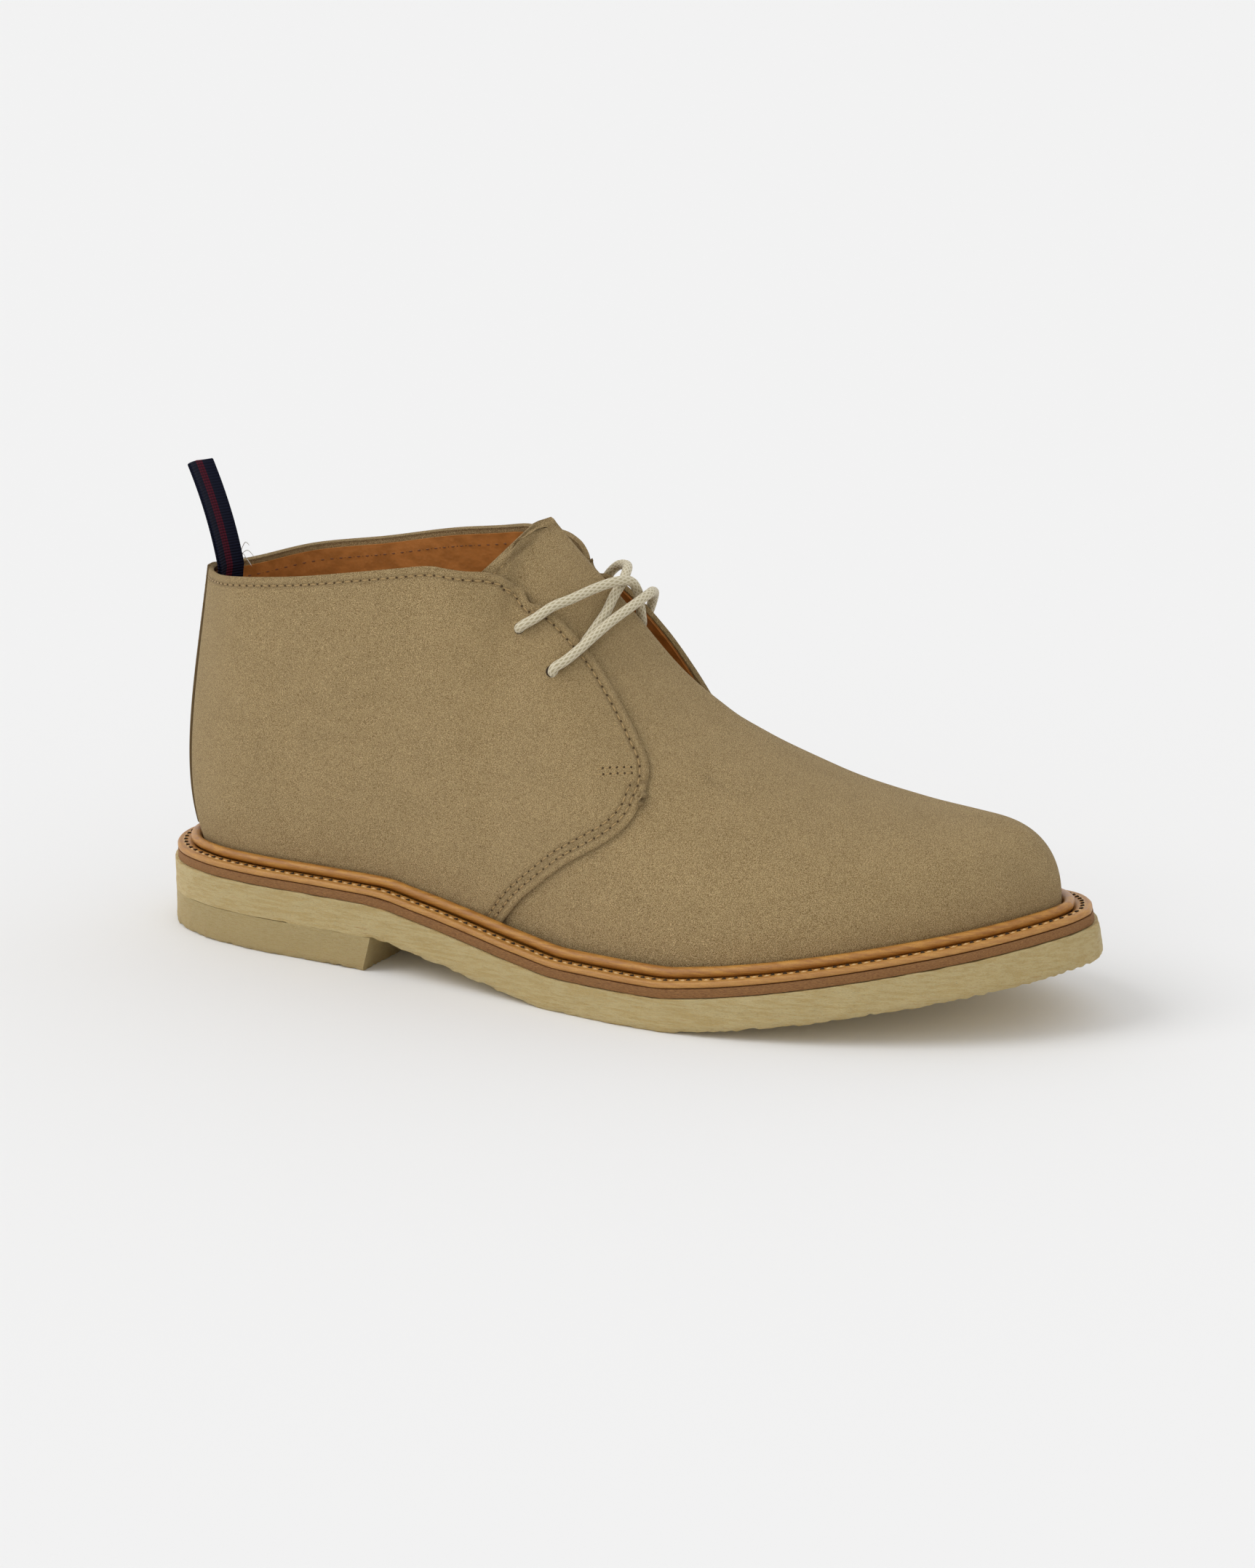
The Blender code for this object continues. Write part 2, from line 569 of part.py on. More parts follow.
def stay_of(side, s, t):
    """Raised strip over the back seam, above the welt's bead."""
    half = 0.5 * STAY_WIDTH / side_length(side)
    return STAY_STEP * (1 - ramp(s, half, half + 0.002)) * ramp(t, STAY_FOOT, STAY_FOOT + 0.01)


def side_length(side):
    return float(np.linalg.norm(np.diff(side.feather, axis=0), axis=1).sum())


def quarter_half(side, columns, rows):
    """Points of one quarter from the back seam to its front edge."""
    # the first row stands just above the welt's bead, where the strip over the seam starts
    ups = np.r_[0, np.linspace(STAY_FOOT, 1, rows - 1)]
    head_rows = [(0.0, 1.0), (0.10, 1.0), (0.20, 1.0), (0.28, 1.0)] + list(FACING[::-1])
    grid = four_sided(
        foot=lambda u: np.c_[u * SEAM[0][0], 0 * u],
        head=lambda u: edge(head_rows, u),
        back=lambda v: np.c_[0 * v, v],
        front=lambda v: edge(SEAM, v),
        columns=columns, ups=ups)
    s, t = grid[..., 0], np.clip(grid[..., 1], 0, 1)
    # a close pair of columns at the edge of the strip makes its step
    half = 0.5 * STAY_WIDTH / side_length(side)
    extra = []
    for place in (half, half + 0.002):
        row_s = np.full(rows, place)
        row_t = np.array([np.interp(place, s[:, j], t[:, j]) for j in range(rows)])
        extra.append(np.stack([row_s, row_t], -1))
    pairs = np.stack([s, t], -1)
    keep = pairs[(pairs[:, 0, 0] > half + 0.006) | (pairs[:, 0, 0] < 1e-9)]
    pairs = np.concatenate([keep[:1], np.array(extra), keep[1:]])
    s, t = pairs[..., 0], pairs[..., 1]
    return side.at(s, t, lift_of(side, s, t) + stay_of(side, s, t))


def vamp_half(side, columns, rows):
    """Points of one side of the vamp and tongue, from under the quarter to the centre line."""
    lap = SEAM_LAP / side_length(side)
    margin = [(a - lap, b) for a, b in SEAM[:6]] + list(TONGUE_EDGE)
    up = np.interp(np.linspace(0, 1, rows), (0, 0.40, 0.75, 1), (0, 0.45, 0.86, 1))
    start = between([m[1] for m in margin], [m[0] for m in margin], up)
    # one rib always tops out at the middle of the tongue's top edge
    knot = round(columns * TONGUE_COLUMNS)
    last = (RIDGE_FROM - start[-1]) / (1 - start[-1])
    middle = start + (1 - start) * (TONGUE_COLUMNS + (last - TONGUE_COLUMNS) * up ** 2)
    u = np.arange(columns)[:, None]
    s = np.where(u <= knot, start + (middle - start) * u / knot,
                 middle + (1 - middle) * (u - knot) / (columns - 1 - knot))
    t = np.broadcast_to(up, s.shape)
    return side.at(s, t, -dip_of(s, t))


def dip_of(s, t):
    """The vamp lies a step under the quarters, and its tongue under the loose flaps."""
    under = 1 - ramp(s, 0.60, 0.70)
    loose = ramp(t, 0.50, 0.68) * (1 - ramp(s, 0.52, 0.60))
    deep = WALL + FLAP_AIR
    return VAMP_STEP * under * (1 - loose) + deep * loose


def meet(halves, centre):
    """Both halves share their points on the centre line."""
    mean = 0.5 * (halves[0][centre] + halves[1][centre])
    for half in halves:
        half[centre] = mean
    return halves


def skin(name, halves, mat, parts):
    """Open surface of both sides, welded on the centre line, thickened inwards."""
    verts, faces = [], []
    for half, side in zip(halves, SIDES):
        columns, rows = half.shape[:2]
        start = len(verts)
        verts.extend(half.reshape(-1, 3))
        for i in range(columns - 1):
            for j in range(rows - 1):
                a = start + i * rows + j
                face = (a, a + rows, a + rows + 1, a + 1)
                faces.append(face if side.side == OUTER else face[::-1])
    obj = new_object(name, verts, faces, mat, parts)
    tidy_open(obj)
    thick = obj.modifiers.new("Wall", "SOLIDIFY")
    thick.thickness = WALL
    thick.offset = -1
    # flat faces keep the joins below exact
    obj.modifiers.new("Flat faces", "TRIANGULATE")
    return obj


def tidy_open(obj):
    bm = bmesh.new()
    bm.from_mesh(obj.data)
    bmesh.ops.remove_doubles(bm, verts=bm.verts, dist=0.00002)
    bm.to_mesh(obj.data)
    bm.free()
    obj.data.shade_smooth()


def hollow_upper(mat):
    """Quarters joined to the vamp and its tongue, with the eyelet holes through the flaps."""
    columns, rows = VAMP_GRID
    centre = np.zeros((columns, rows), bool)
    centre[-1, :] = True
    centre[round(columns * TONGUE_COLUMNS):, -1] = True
    vamp = skin("vamp", meet([vamp_half(side, columns, rows) for side in SIDES], centre),
                mat, False)
    quarters = [quarter_half(side, *QUARTER_GRID) for side in SIDES]
    centre = np.zeros(quarters[0].shape[:2], bool)
    centre[0, :] = True
    upper = skin("upper", meet(quarters, centre), mat, True)
    combine(upper, vamp, "UNION")
    for side in SIDES:
        for s, t in EYELETS:
            combine(upper, eyelet_cutter(side, s, t), "DIFFERENCE")


def combine(obj, other, kind):
    joint = obj.modifiers.new(other.name, "BOOLEAN")
    joint.operation = kind
    joint.solver = "EXACT"
    joint.object = other


def eyelet_cutter(side, s, t):
    """Peg through a flap that stops short of the tongue."""
    out = lift_of(side, s, t) + np.array([-WALL - 0.5 * FLAP_AIR, 2 * WALL])
    ends = side.at(np.full(2, s), np.full(2, t), out)
    axis = (ends[1] - ends[0]) / np.linalg.norm(ends[1] - ends[0])
    across = np.cross(axis, (0, 0, 1))
    across /= np.linalg.norm(across)
    other = np.cross(axis, across)
    turn = np.linspace(0, 2 * math.pi, EYELET_STEPS, endpoint=False)[:, None]
    ring = 0.5 * EYELET * (np.cos(turn) * across + np.sin(turn) * other)
    n = EYELET_STEPS
    faces = [(i, (i + 1) % n, n + (i + 1) % n, n + i) for i in range(n)]
    faces += [tuple(range(n)), tuple(range(2 * n - 1, n - 1, -1))]
    obj = new_object("eyelet_peg", np.r_[ends[0] + ring, ends[1] + ring], faces, None, False)
    tidy(obj)
    return obj


def foot_bed(mat):
    inset = WELT_REACH + VAMP_STEP + WALL + 2 * GAP
    loops = [lifted(plan_loop(inset, SOLE_STEPS), UPPER_FOOT),
             lifted(plan_loop(inset, SOLE_STEPS), UPPER_FOOT + INSOLE)]
    return plate("insole", loops, mat)


def lace_run(name, rows):
    """One tube over rows of (side, along, up, height above the ribs' surface)."""
    pts = np.array([SIDES[0 if side == OUTER else 1].at(s, t, out) for side, s, t, out in rows])
    chord = np.r_[0, np.cumsum(np.linalg.norm(np.diff(pts, axis=0), axis=1))]
    path = between(chord, pts, np.linspace(0, chord[-1], LACE_STEPS), flowing=True)
    curve = bpy.data.curves.new(name, "CURVE")
    curve.dimensions = "3D"
    curve.bevel_depth = 0.5 * LACE
    curve.bevel_resolution = 2
    curve.use_fill_caps = True
    spline = curve.splines.new("POLY")
    spline.points.add(len(path) - 1)
    for point, co in zip(spline.points, path):
        point.co = (*co, 1)
    guide = bpy.data.objects.new(name + "_line", curve)
    GUIDES.objects.link(guide)
    depsgraph = bpy.context.evaluated_depsgraph_get()
    mesh = bpy.data.meshes.new_from_object(guide.evaluated_get(depsgraph))
    GUIDES.objects.unlink(guide)
    bpy.data.objects.remove(guide)
    obj = bpy.data.objects.new(name, mesh)
    tidy(obj)
    return obj


def lace_runs(mat):
    """Three runs joined where they cross: low, middle and high."""
    runs = [lace_run(name, rows) for name, rows in
            (("lace", LOW_RUN), ("middle_run", MIDDLE_RUN), ("high_run", HIGH_RUN))]
    PARTS.objects.link(runs[0])
    runs[0].data.materials.append(mat)
    for other in runs[1:]:
        GUIDES.objects.link(other)
        other.hide_render = True
        other.display_type = "WIRE"
        combine(runs[0], other, "UNION")


def pull_loop(mat):
    """Folded ribbon that follows the collar's back inside and leans back above it."""
    inside = WALL + 5 * GAP + RIBBON + 0.5 * RIBBON_CLOSED
    rise = RIBBON_RISE - 0.5 * (RIBBON_FOLD + 2 * RIBBON)
    height = np.r_[np.linspace(-RIBBON_TUCK, 0, 4)[:-1], np.linspace(0, rise, 9)]
    share = np.clip(height / RIBBON_RISE, 0, 1)
    lean = RIBBON_LEAN * share * (RIBBON_START + (1 - RIBBON_START) * share)
    slope = np.where(height < 0, 0, np.gradient(lean, height))
    open_ = RIBBON_CLOSED + (RIBBON_FOLD - RIBBON_CLOSED) * ramp(height, 0, rise)
    half = 0.5 * (RIBBON + open_)
    level = 1 / np.sqrt(1 + slope * slope)
    s = np.linspace(0, 0.08, 33)
    reach = np.abs(SIDES[0].base(s, 1.0)[:, 1])
    verts = []
    for y in np.linspace(-0.5, 0.5, RIBBON_COLUMNS) * RIBBON_WIDTH:
        side = SIDES[0 if y < 0 else 1]
        at = float(np.interp(abs(y), reach, s))
        line = side.at(at, 1 + np.minimum(height, 0) / COLLAR_HEIGHT, np.full(len(height), -inside))
        middle = np.c_[line[:, 0] - lean, line[-1, 2] + height]
        across = np.c_[level, level * slope] * half[:, None]
        back, front = middle - across, middle + across
        turn = np.linspace(0, math.pi, 6)[1:-1, None]
        along = np.array([-across[-1, 1], across[-1, 0]])
        fold = middle[-1] - np.cos(turn) * across[-1] + np.sin(turn) * along
        path = np.r_[back, fold, front[::-1]]
        verts.append(np.c_[path[:, 0], np.full(len(path), y), path[:, 1]])
    rows = len(verts[0])
    faces = [(i * rows + j, (i + 1) * rows + j, (i + 1) * rows + j + 1, i * rows + j + 1)
             for i in range(RIBBON_COLUMNS - 1) for j in range(rows - 1)]
    obj = new_object("pull_loop", np.concatenate(verts), faces, mat)
    tidy_open(obj)
    thick = obj.modifiers.new("Ribbon", "SOLIDIFY")
    thick.thickness = RIBBON
    thick.offset = 0
    return obj


SOLE_STEPS = 56            # points down each side of the sole
HEEL_STEPS = 22
QUARTER_GRID = (20, 14)    # columns along, rows up, for each half
VAMP_GRID = (21, 17)
TONGUE_COLUMNS = 0.20      # share of the vamp's columns that end on the tongue's top edge
EYELET_STEPS = 16
LACE_STEPS = 18
RIBBON_COLUMNS = 5

PARTS = bpy.data.collections.new("chukka_boot")
GUIDES = bpy.data.collections.new("cutters")
bpy.context.scene.collection.children.link(PARTS)
bpy.context.scene.collection.children.link(GUIDES)

CREPE = material("crepe", (0.61, 0.50, 0.26), 0.80)
SOLE_LEATHER = material("sole_leather", (0.19, 0.065, 0.025), 0.75)
WELT_LEATHER = material("welt_leather", (0.52, 0.21, 0.055), 0.45)
SUEDE = material("suede", (0.38, 0.29, 0.16), 0.95)
LINING = material("lining", (0.40, 0.15, 0.04), 0.60)
COTTON = material("cotton", (0.72, 0.68, 0.58), 0.85)
RIBBED = material("ribbon", (0.014, 0.020, 0.045), 0.70)

crepe_sheet(CREPE)
heel_lift(CREPE)
leather_midsole(SOLE_LEATHER)
storm_welt(WELT_LEATHER)
hollow_upper(SUEDE)
foot_bed(LINING)
lace_runs(COTTON)
pull_loop(RIBBED)

# the model stands over the middle of its own floor print
outline = plan_loop(0, SOLE_STEPS)
low, high = outline.min(axis=0), outline.max(axis=0)
shift = Matrix.Translation((-0.5 * (low[0] + high[0]), -0.5 * (low[1] + high[1]), 0))
for made in [*PARTS.objects, *GUIDES.objects]:
    made.data.transform(shift)
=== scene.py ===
"""Looks of the two-eyelet chukka boot: sand suede, tan lining, waxed storm welt, crepe sole.

The suede panels follow the same last as the solids: each side is a row of ribs from the welt
to the collar or the instep, read at (along, up). Metres, +X to the toe, +Y to the inner side.
"""
import math

import bpy
import numpy as np
from mathutils import Matrix, Vector, noise


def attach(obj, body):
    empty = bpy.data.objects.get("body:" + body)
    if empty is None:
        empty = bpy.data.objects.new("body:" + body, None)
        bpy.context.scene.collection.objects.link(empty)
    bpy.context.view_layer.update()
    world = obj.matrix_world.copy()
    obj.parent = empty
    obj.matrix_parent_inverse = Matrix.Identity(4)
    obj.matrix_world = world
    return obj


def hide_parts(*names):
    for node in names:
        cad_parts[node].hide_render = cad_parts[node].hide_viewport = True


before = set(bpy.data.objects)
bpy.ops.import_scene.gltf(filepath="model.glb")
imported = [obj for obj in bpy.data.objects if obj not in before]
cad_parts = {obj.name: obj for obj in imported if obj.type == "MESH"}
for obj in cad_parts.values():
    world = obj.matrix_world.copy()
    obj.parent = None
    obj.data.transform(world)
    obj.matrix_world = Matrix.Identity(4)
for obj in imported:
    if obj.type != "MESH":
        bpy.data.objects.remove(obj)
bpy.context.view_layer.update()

# Sole: plan sizes
SOLE_LENGTH = 0.304
BALL_WIDTH = 0.109
WAIST_WIDTH = 0.0755
HEEL_WIDTH = 0.0745
BREAST_AT = 0.089          # heel breast, from the back of the heel

# Sole: thicknesses, from the floor up
LIFT = 0.0110              # crepe heel lift
SHEET = 0.0098             # crepe sheet that runs from heel to toe
TOE_SPRING = 0.0205        # underside of the sheet at the tip of the toe
MIDSOLE = 0.0026
FLANGE = 0.0018            # welt, where it lies flat on the midsole
SOLE_EDGE = 0.0010         # rounding of the crepe's lower edge
BREAST_RAKE = 0.0030       # the breast's foot lies this far behind its head

# Welt: what lies between the upper and the edge of the sole
WELT_INSET = 0.0008        # welt and midsole stand back from the crepe
FLANGE_WIDTH = 0.0052
BEAD_WIDTH = 0.0036
BEAD_RISE = 0.0032         # bead's crown above the flange

# Upper: heights are measured from the top of the midsole at the foot of each rib
COLLAR_HEIGHT = 0.0888     # at the back seam
QUARTER_HEIGHT = 0.1020    # collar at its front end
TONGUE_HEIGHT = 0.1226     # top of the tongue, on the centre line
INSTEP_HEIGHT = 0.0920     # ridge over the instep
TOE_HEIGHT = 0.0294        # toe box
WALL = 0.0022              # suede and its lining
VAMP_STEP = 0.0013         # vamp lies this much under the quarters' face
FLAP_AIR = 0.0009          # tongue to the underside of a loose flap
FLAP_LIFT = 0.0042         # inner flap stands this much off the tongue
STAY_WIDTH = 0.0140        # strip over the back seam
STAY_STEP = 0.0012
STAY_FOOT = 0.085          # share of the rib where it starts, above the welt's bead
SEAM_LAP = 0.0090          # vamp's margin under the quarters

# Small pieces
EYELETS = ((0.424, 0.620), (0.473, 0.606))    # along and up each quarter, upper then lower
LACE = 0.0030
RIBBON_WIDTH = 0.0132
RIBBON_FOLD = 0.0002       # between the two layers, at the top
RIBBON_CLOSED = 0.0004     # and where it is tucked in
RIBBON_THICK = 0.0005
RIBBON_RISE = 0.0325       # above the collar
RIBBON_LEAN = 0.0104       # its top leans back by this much
RIBBON_START = 0.57        # share of the lean that is there from the collar up
RIBBON_TUCK = 0.0100
GAP = 0.0003               # between pieces that touch

# Half outlines of the sole. Shares: along SOLE_LENGTH, then of the width named in the row
#        along  width        outer  inner
OUTLINE = (
    (0.000, HEEL_WIDTH, 0.000, 0.000),
    (0.006, HEEL_WIDTH, 0.135, 0.135),
    (0.030, HEEL_WIDTH, 0.290, 0.290),
    (0.075, HEEL_WIDTH, 0.405, 0.405),
    (0.140, HEEL_WIDTH, 0.475, 0.482),
    (0.220, HEEL_WIDTH, 0.507, 0.493),
    (0.300, WAIST_WIDTH, 0.537, 0.461),
    (0.380, WAIST_WIDTH, 0.577, 0.427),
    (0.460, WAIST_WIDTH, 0.631, 0.447),
    (0.540, BALL_WIDTH, 0.477, 0.367),
    (0.620, BALL_WIDTH, 0.500, 0.450),
    (0.700, BALL_WIDTH, 0.484, 0.496),
    (0.780, BALL_WIDTH, 0.433, 0.502),
    (0.860, BALL_WIDTH, 0.341, 0.461),
    (0.925, BALL_WIDTH, 0.229, 0.376),
    (0.972, BALL_WIDTH, 0.102, 0.254),
    (0.994, BALL_WIDTH, 0.012, 0.140),
    (1.000, BALL_WIDTH, -0.064, 0.064),
)

# Underside of the crepe sheet above the floor. Shares: along, of the height named in the row
RISE = (
    (0.000, LIFT, 1.000),
    (0.285, LIFT, 1.000),
    (0.335, LIFT, 0.800),
    (0.395, LIFT, 0.500),
    (0.455, LIFT, 0.200),
    (0.515, LIFT, 0.000),
    (0.625, TOE_SPRING, 0.000),
    (0.672, TOE_SPRING, 0.070),
    (0.720, TOE_SPRING, 0.175),
    (0.785, TOE_SPRING, 0.345),
    (0.850, TOE_SPRING, 0.530),
    (0.920, TOE_SPRING, 0.740),
    (1.000, TOE_SPRING, 1.000),
)

# Ribs of the upper, from the back seam (0) round one side to the tip of the toe (1).
# Each rib is a Bezier curve from the feather line to the top line.
# along     share of that side's feather line
# x, y      top of the rib: shares of SOLE_LENGTH and BALL_WIDTH
# height    the named height that the rib's top follows, and its share
# foot_out  lower handle: bulge past the feather, share of BALL_WIDTH
# foot_up   and how far up, share of the rib's own height
# head_out  upper handle: reach outward from the top, share of BALL_WIDTH
# head_down and drop, share of the rib's own height
#  along   x      y       height          share   f_out  f_up   h_out  h_down
OUTER_RIBS = (
    (0.000, 0.0416, 0.000, COLLAR_HEIGHT, 1.000, 0.096, 0.250, 0.050, 0.390),
    (0.075, 0.0640, -0.128, COLLAR_HEIGHT, 1.004, 0.080, 0.255, 0.038, 0.390),
    (0.130, 0.1080, -0.232, COLLAR_HEIGHT, 1.020, 0.062, 0.260, 0.026, 0.390),
    (0.195, 0.1870, -0.275, COLLAR_HEIGHT, 1.050, 0.054, 0.265, 0.020, 0.380),
    (0.270, 0.2690, -0.280, QUARTER_HEIGHT, 0.951, 0.052, 0.275, 0.024, 0.365),
    (0.325, 0.3280, -0.262, QUARTER_HEIGHT, 0.998, 0.052, 0.300, 0.045, 0.340),
    (0.365, 0.3880, -0.218, TONGUE_HEIGHT, 0.870, 0.053, 0.330, 0.095, 0.280),
    (0.390, 0.4190, -0.122, TONGUE_HEIGHT, 0.930, 0.053, 0.360, 0.165, 0.190),
    (0.412, 0.4350, 0.006, TONGUE_HEIGHT, 0.994, 0.052, 0.395, 0.240, 0.102),
    (0.430, 0.4475, 0.008, TONGUE_HEIGHT, 0.968, 0.051, 0.412, 0.258, 0.095),
    (0.460, 0.4717, 0.012, INSTEP_HEIGHT, 1.218, 0.048, 0.445, 0.290, 0.074),
    (0.513, 0.5263, 0.018, INSTEP_HEIGHT, 1.057, 0.043, 0.490, 0.310, 0.048),
    (0.568, 0.5835, 0.022, INSTEP_HEIGHT, 0.860, 0.039, 0.520, 0.303, 0.030),
    (0.643, 0.6535, 0.028, INSTEP_HEIGHT, 0.692, 0.036, 0.530, 0.296, 0.015),
    (0.710, 0.7220, 0.032, TOE_HEIGHT, 1.745, 0.034, 0.520, 0.300, 0.000),
    (0.790, 0.7930, 0.036, TOE_HEIGHT, 1.395, 0.030, 0.520, 0.285, 0.000),
    (0.865, 0.8390, 0.040, TOE_HEIGHT, 1.172, 0.024, 0.555, 0.240, 0.000),
    (0.930, 0.8640, 0.044, TOE_HEIGHT, 1.035, 0.017, 0.600, 0.190, 0.000),
    (1.000, 0.8780, 0.046, TOE_HEIGHT, 0.948, 0.012, 0.640, 0.160, 0.000),
)
INNER_RIBS = (
    (0.000, 0.0416, 0.000, COLLAR_HEIGHT, 1.000, 0.096, 0.250, 0.050, 0.390),
    (0.075, 0.0640, 0.128, COLLAR_HEIGHT, 1.004, 0.080, 0.255, 0.038, 0.390),
    (0.130, 0.1080, 0.232, COLLAR_HEIGHT, 1.040, 0.064, 0.260, 0.026, 0.390),
    (0.195, 0.1870, 0.280, COLLAR_HEIGHT, 1.078, 0.062, 0.260, 0.024, 0.380),
    (0.270, 0.2690, 0.290, QUARTER_HEIGHT, 0.982, 0.076, 0.260, 0.036, 0.365),
    (0.325, 0.3280, 0.280, QUARTER_HEIGHT, 1.021, 0.088, 0.280, 0.060, 0.340),
    (0.365, 0.3880, 0.238, TONGUE_HEIGHT, 0.892, 0.092, 0.305, 0.105, 0.280),
    (0.390, 0.4190, 0.136, TONGUE_HEIGHT, 0.942, 0.090, 0.335, 0.180, 0.185),
    (0.412, 0.4350, 0.006, TONGUE_HEIGHT, 0.994, 0.082, 0.370, 0.255, 0.097),
    (0.430, 0.4475, 0.008, TONGUE_HEIGHT, 0.968, 0.078, 0.388, 0.276, 0.088),
    (0.460, 0.4717, 0.012, INSTEP_HEIGHT, 1.218, 0.070, 0.425, 0.320, 0.064),
    (0.513, 0.5263, 0.018, INSTEP_HEIGHT, 1.057, 0.056, 0.475, 0.335, 0.044),
    (0.568, 0.5835, 0.022, INSTEP_HEIGHT, 0.860, 0.045, 0.505, 0.313, 0.040),
    (0.643, 0.6535, 0.028, INSTEP_HEIGHT, 0.692, 0.038, 0.515, 0.295, 0.038),
    (0.710, 0.7220, 0.032, TOE_HEIGHT, 1.745, 0.034, 0.510, 0.290, 0.040),
    (0.790, 0.7930, 0.036, TOE_HEIGHT, 1.395, 0.030, 0.510, 0.280, 0.040),
    (0.865, 0.8390, 0.040, TOE_HEIGHT, 1.172, 0.024, 0.550, 0.240, 0.030),
    (0.930, 0.8640, 0.044, TOE_HEIGHT, 1.035, 0.017, 0.600, 0.190, 0.010),
    (1.000, 0.8780, 0.046, TOE_HEIGHT, 0.948, 0.012, 0.640, 0.160, 0.000),
)

# Front edge of each quarter on the ribs' own grid: along and up are shares of a side and a rib
SEAM = ((0.412, 0.000), (0.433, 0.060), (0.460, 0.120), (0.489, 0.177), (0.517, 0.227),
        (0.539, 0.277), (0.559, 0.340), (0.571, 0.400), (0.577, 0.475))
FACING = ((0.577, 0.475), (0.579, 0.535), (0.574, 0.594), (0.558, 0.645), (0.534, 0.696),
          (0.510, 0.729), (0.487, 0.741), (0.466, 0.744), (0.446, 0.733), (0.428, 0.711),
          (0.412, 0.722), (0.398, 0.798), (0.384, 0.890), (0.367, 0.960), (0.338, 1.000))
# Free edge of the tongue under the loose flaps, from the seam's margin to its top corner
TONGUE_EDGE = ((0.545, 0.400), (0.543, 0.490), (0.532, 0.555), (0.512, 0.602), (0.485, 0.632),
               (0.457, 0.650), (0.430, 0.664), (0.408, 0.694), (0.390, 0.760), (0.376, 0.835),
               (0.366, 0.900), (0.364, 0.938), (0.372, 0.960), (0.383, 0.980), (0.403, 1.000))
RIDGE_FROM = 0.412         # rib whose top is the middle of the tongue's top edge
TIP_ROW = 0.955            # share up a rib from which the tongue's tip is laid straight
TONGUE_COLUMNS = 0.20      # share of the vamp's columns from its free edge to the ridge

OUTER, INNER = -1, 1


def slopes(x, y):
    """Slopes that keep a cubic through the rows from overshooting."""
    h = np.diff(x)[:, None]
    d = np.diff(y, axis=0) / h
    m = np.zeros_like(y)
    m[0], m[-1] = d[0], d[-1]
    before, after = d[:-1], d[1:]
    same = before * after > 0
    w1 = 2 * h[1:] + h[:-1]
    w2 = h[1:] + 2 * h[:-1]
    safe_before = np.where(same, before, 1)
    safe_after = np.where(same, after, 1)
    m[1:-1] = np.where(same, (w1 + w2) / (w1 / safe_before + w2 / safe_after), 0)
    return m


def between(x, y, at, flowing=False):
    """Smooth curve through the rows of y at the places x, read at `at`."""
    x = np.asarray(x, float)
    y = np.asarray(y, float)
    flat = y.ndim == 1
    y = y.reshape(len(x), -1)
    if flowing:
        m = np.gradient(y, x, axis=0, edge_order=2 if len(x) > 2 else 1)
    else:
        m = slopes(x, y)
    at = np.clip(np.asarray(at, float), x[0], x[-1])
    i = np.clip(np.searchsorted(x, at, side="right") - 1, 0, len(x) - 2)
    h = x[i + 1] - x[i]
    u = ((at - x[i]) / h)[..., None]
    h = h[..., None]
    out = ((1 + 2 * u) * (1 - u) ** 2 * y[i] + u * (1 - u) ** 2 * h * m[i]
           + u * u * (3 - 2 * u) * y[i + 1] + u * u * (u - 1) * h * m[i + 1])
    return out[..., 0] if flat else out


def ramp(value, start, end):
    """0 before start, 1 after end, smooth between."""
    u = np.clip((value - start) / (end - start), 0, 1)
    return u * u * (3 - 2 * u)


def rise(x):
    """Underside of the crepe sheet above the floor at x."""
    return between([r[0] * SOLE_LENGTH for r in RISE], [r[1] * r[2] for r in RISE], x)


def rise_slope(x):
    step = 0.001
    return (rise(x + step) - rise(x - step)) / (2 * step)


def stretch(x):
    """Height straight up for each unit of height square to the sole."""
    return np.sqrt(1 + rise_slope(x) ** 2)


def half_outline(side, inset=0.0, count=400):
    """Plan of one side of the sole, from the back of the heel to the tip of the toe."""
    column = 2 if side == OUTER else 3
    pts = np.array([(r[0] * SOLE_LENGTH, side * r[column] * r[1]) for r in OUTLINE])
    # mirrored neighbours at both ends, so the curve leaves and arrives square to the centre line
    before = pts[1] * (1, -1)
    after = pts[-2] * (1, -1) + (0, 2 * pts[-1, 1])
    pts = np.r_[[before], pts, [after]]
    chord = np.r_[0, np.cumsum(np.hypot(*np.diff(pts, axis=0).T))]
    line = between(chord, pts, np.linspace(chord[1], chord[-2], count), flowing=True)
    if inset:
        run = np.gradient(line, axis=0)
        run /= np.linalg.norm(run, axis=1)[:, None]
        run[0], run[-1] = (0, side), (0, -side)
        line = line + inset * side * np.c_[run[:, 1], -run[:, 0]]
    return line


def even(line, count):
    """The same line with `count` evenly spaced points."""
    arc = np.r_[0, np.cumsum(np.linalg.norm(np.diff(line, axis=0), axis=1))]
    want = np.linspace(0, arc[-1], count)
    return np.stack([np.interp(want, arc, line[:, k]) for k in range(line.shape[1])], axis=1)


def stations(line, count):
    """The same line at places along X that both sides share, closer at its two ends."""
    share = 0.5 - 0.5 * np.cos(np.linspace(0, math.pi, count + 1))
    x = line[0, 0] + (line[-1, 0] - line[0, 0]) * share
    forward = np.maximum.accumulate(line[:, 0])
    rest = [np.interp(x, forward, line[:, k]) for k in range(1, line.shape[1])]
    return np.stack([x, *rest], axis=1)


def plan_loop(inset, count):
    """Whole outline: outer side from the heel to the toe, then the inner side back again."""
    outer = stations(half_outline(OUTER, inset), count)
    inner = stations(half_outline(INNER, inset), count)
    return np.r_[outer, inner[-2:0:-1]]


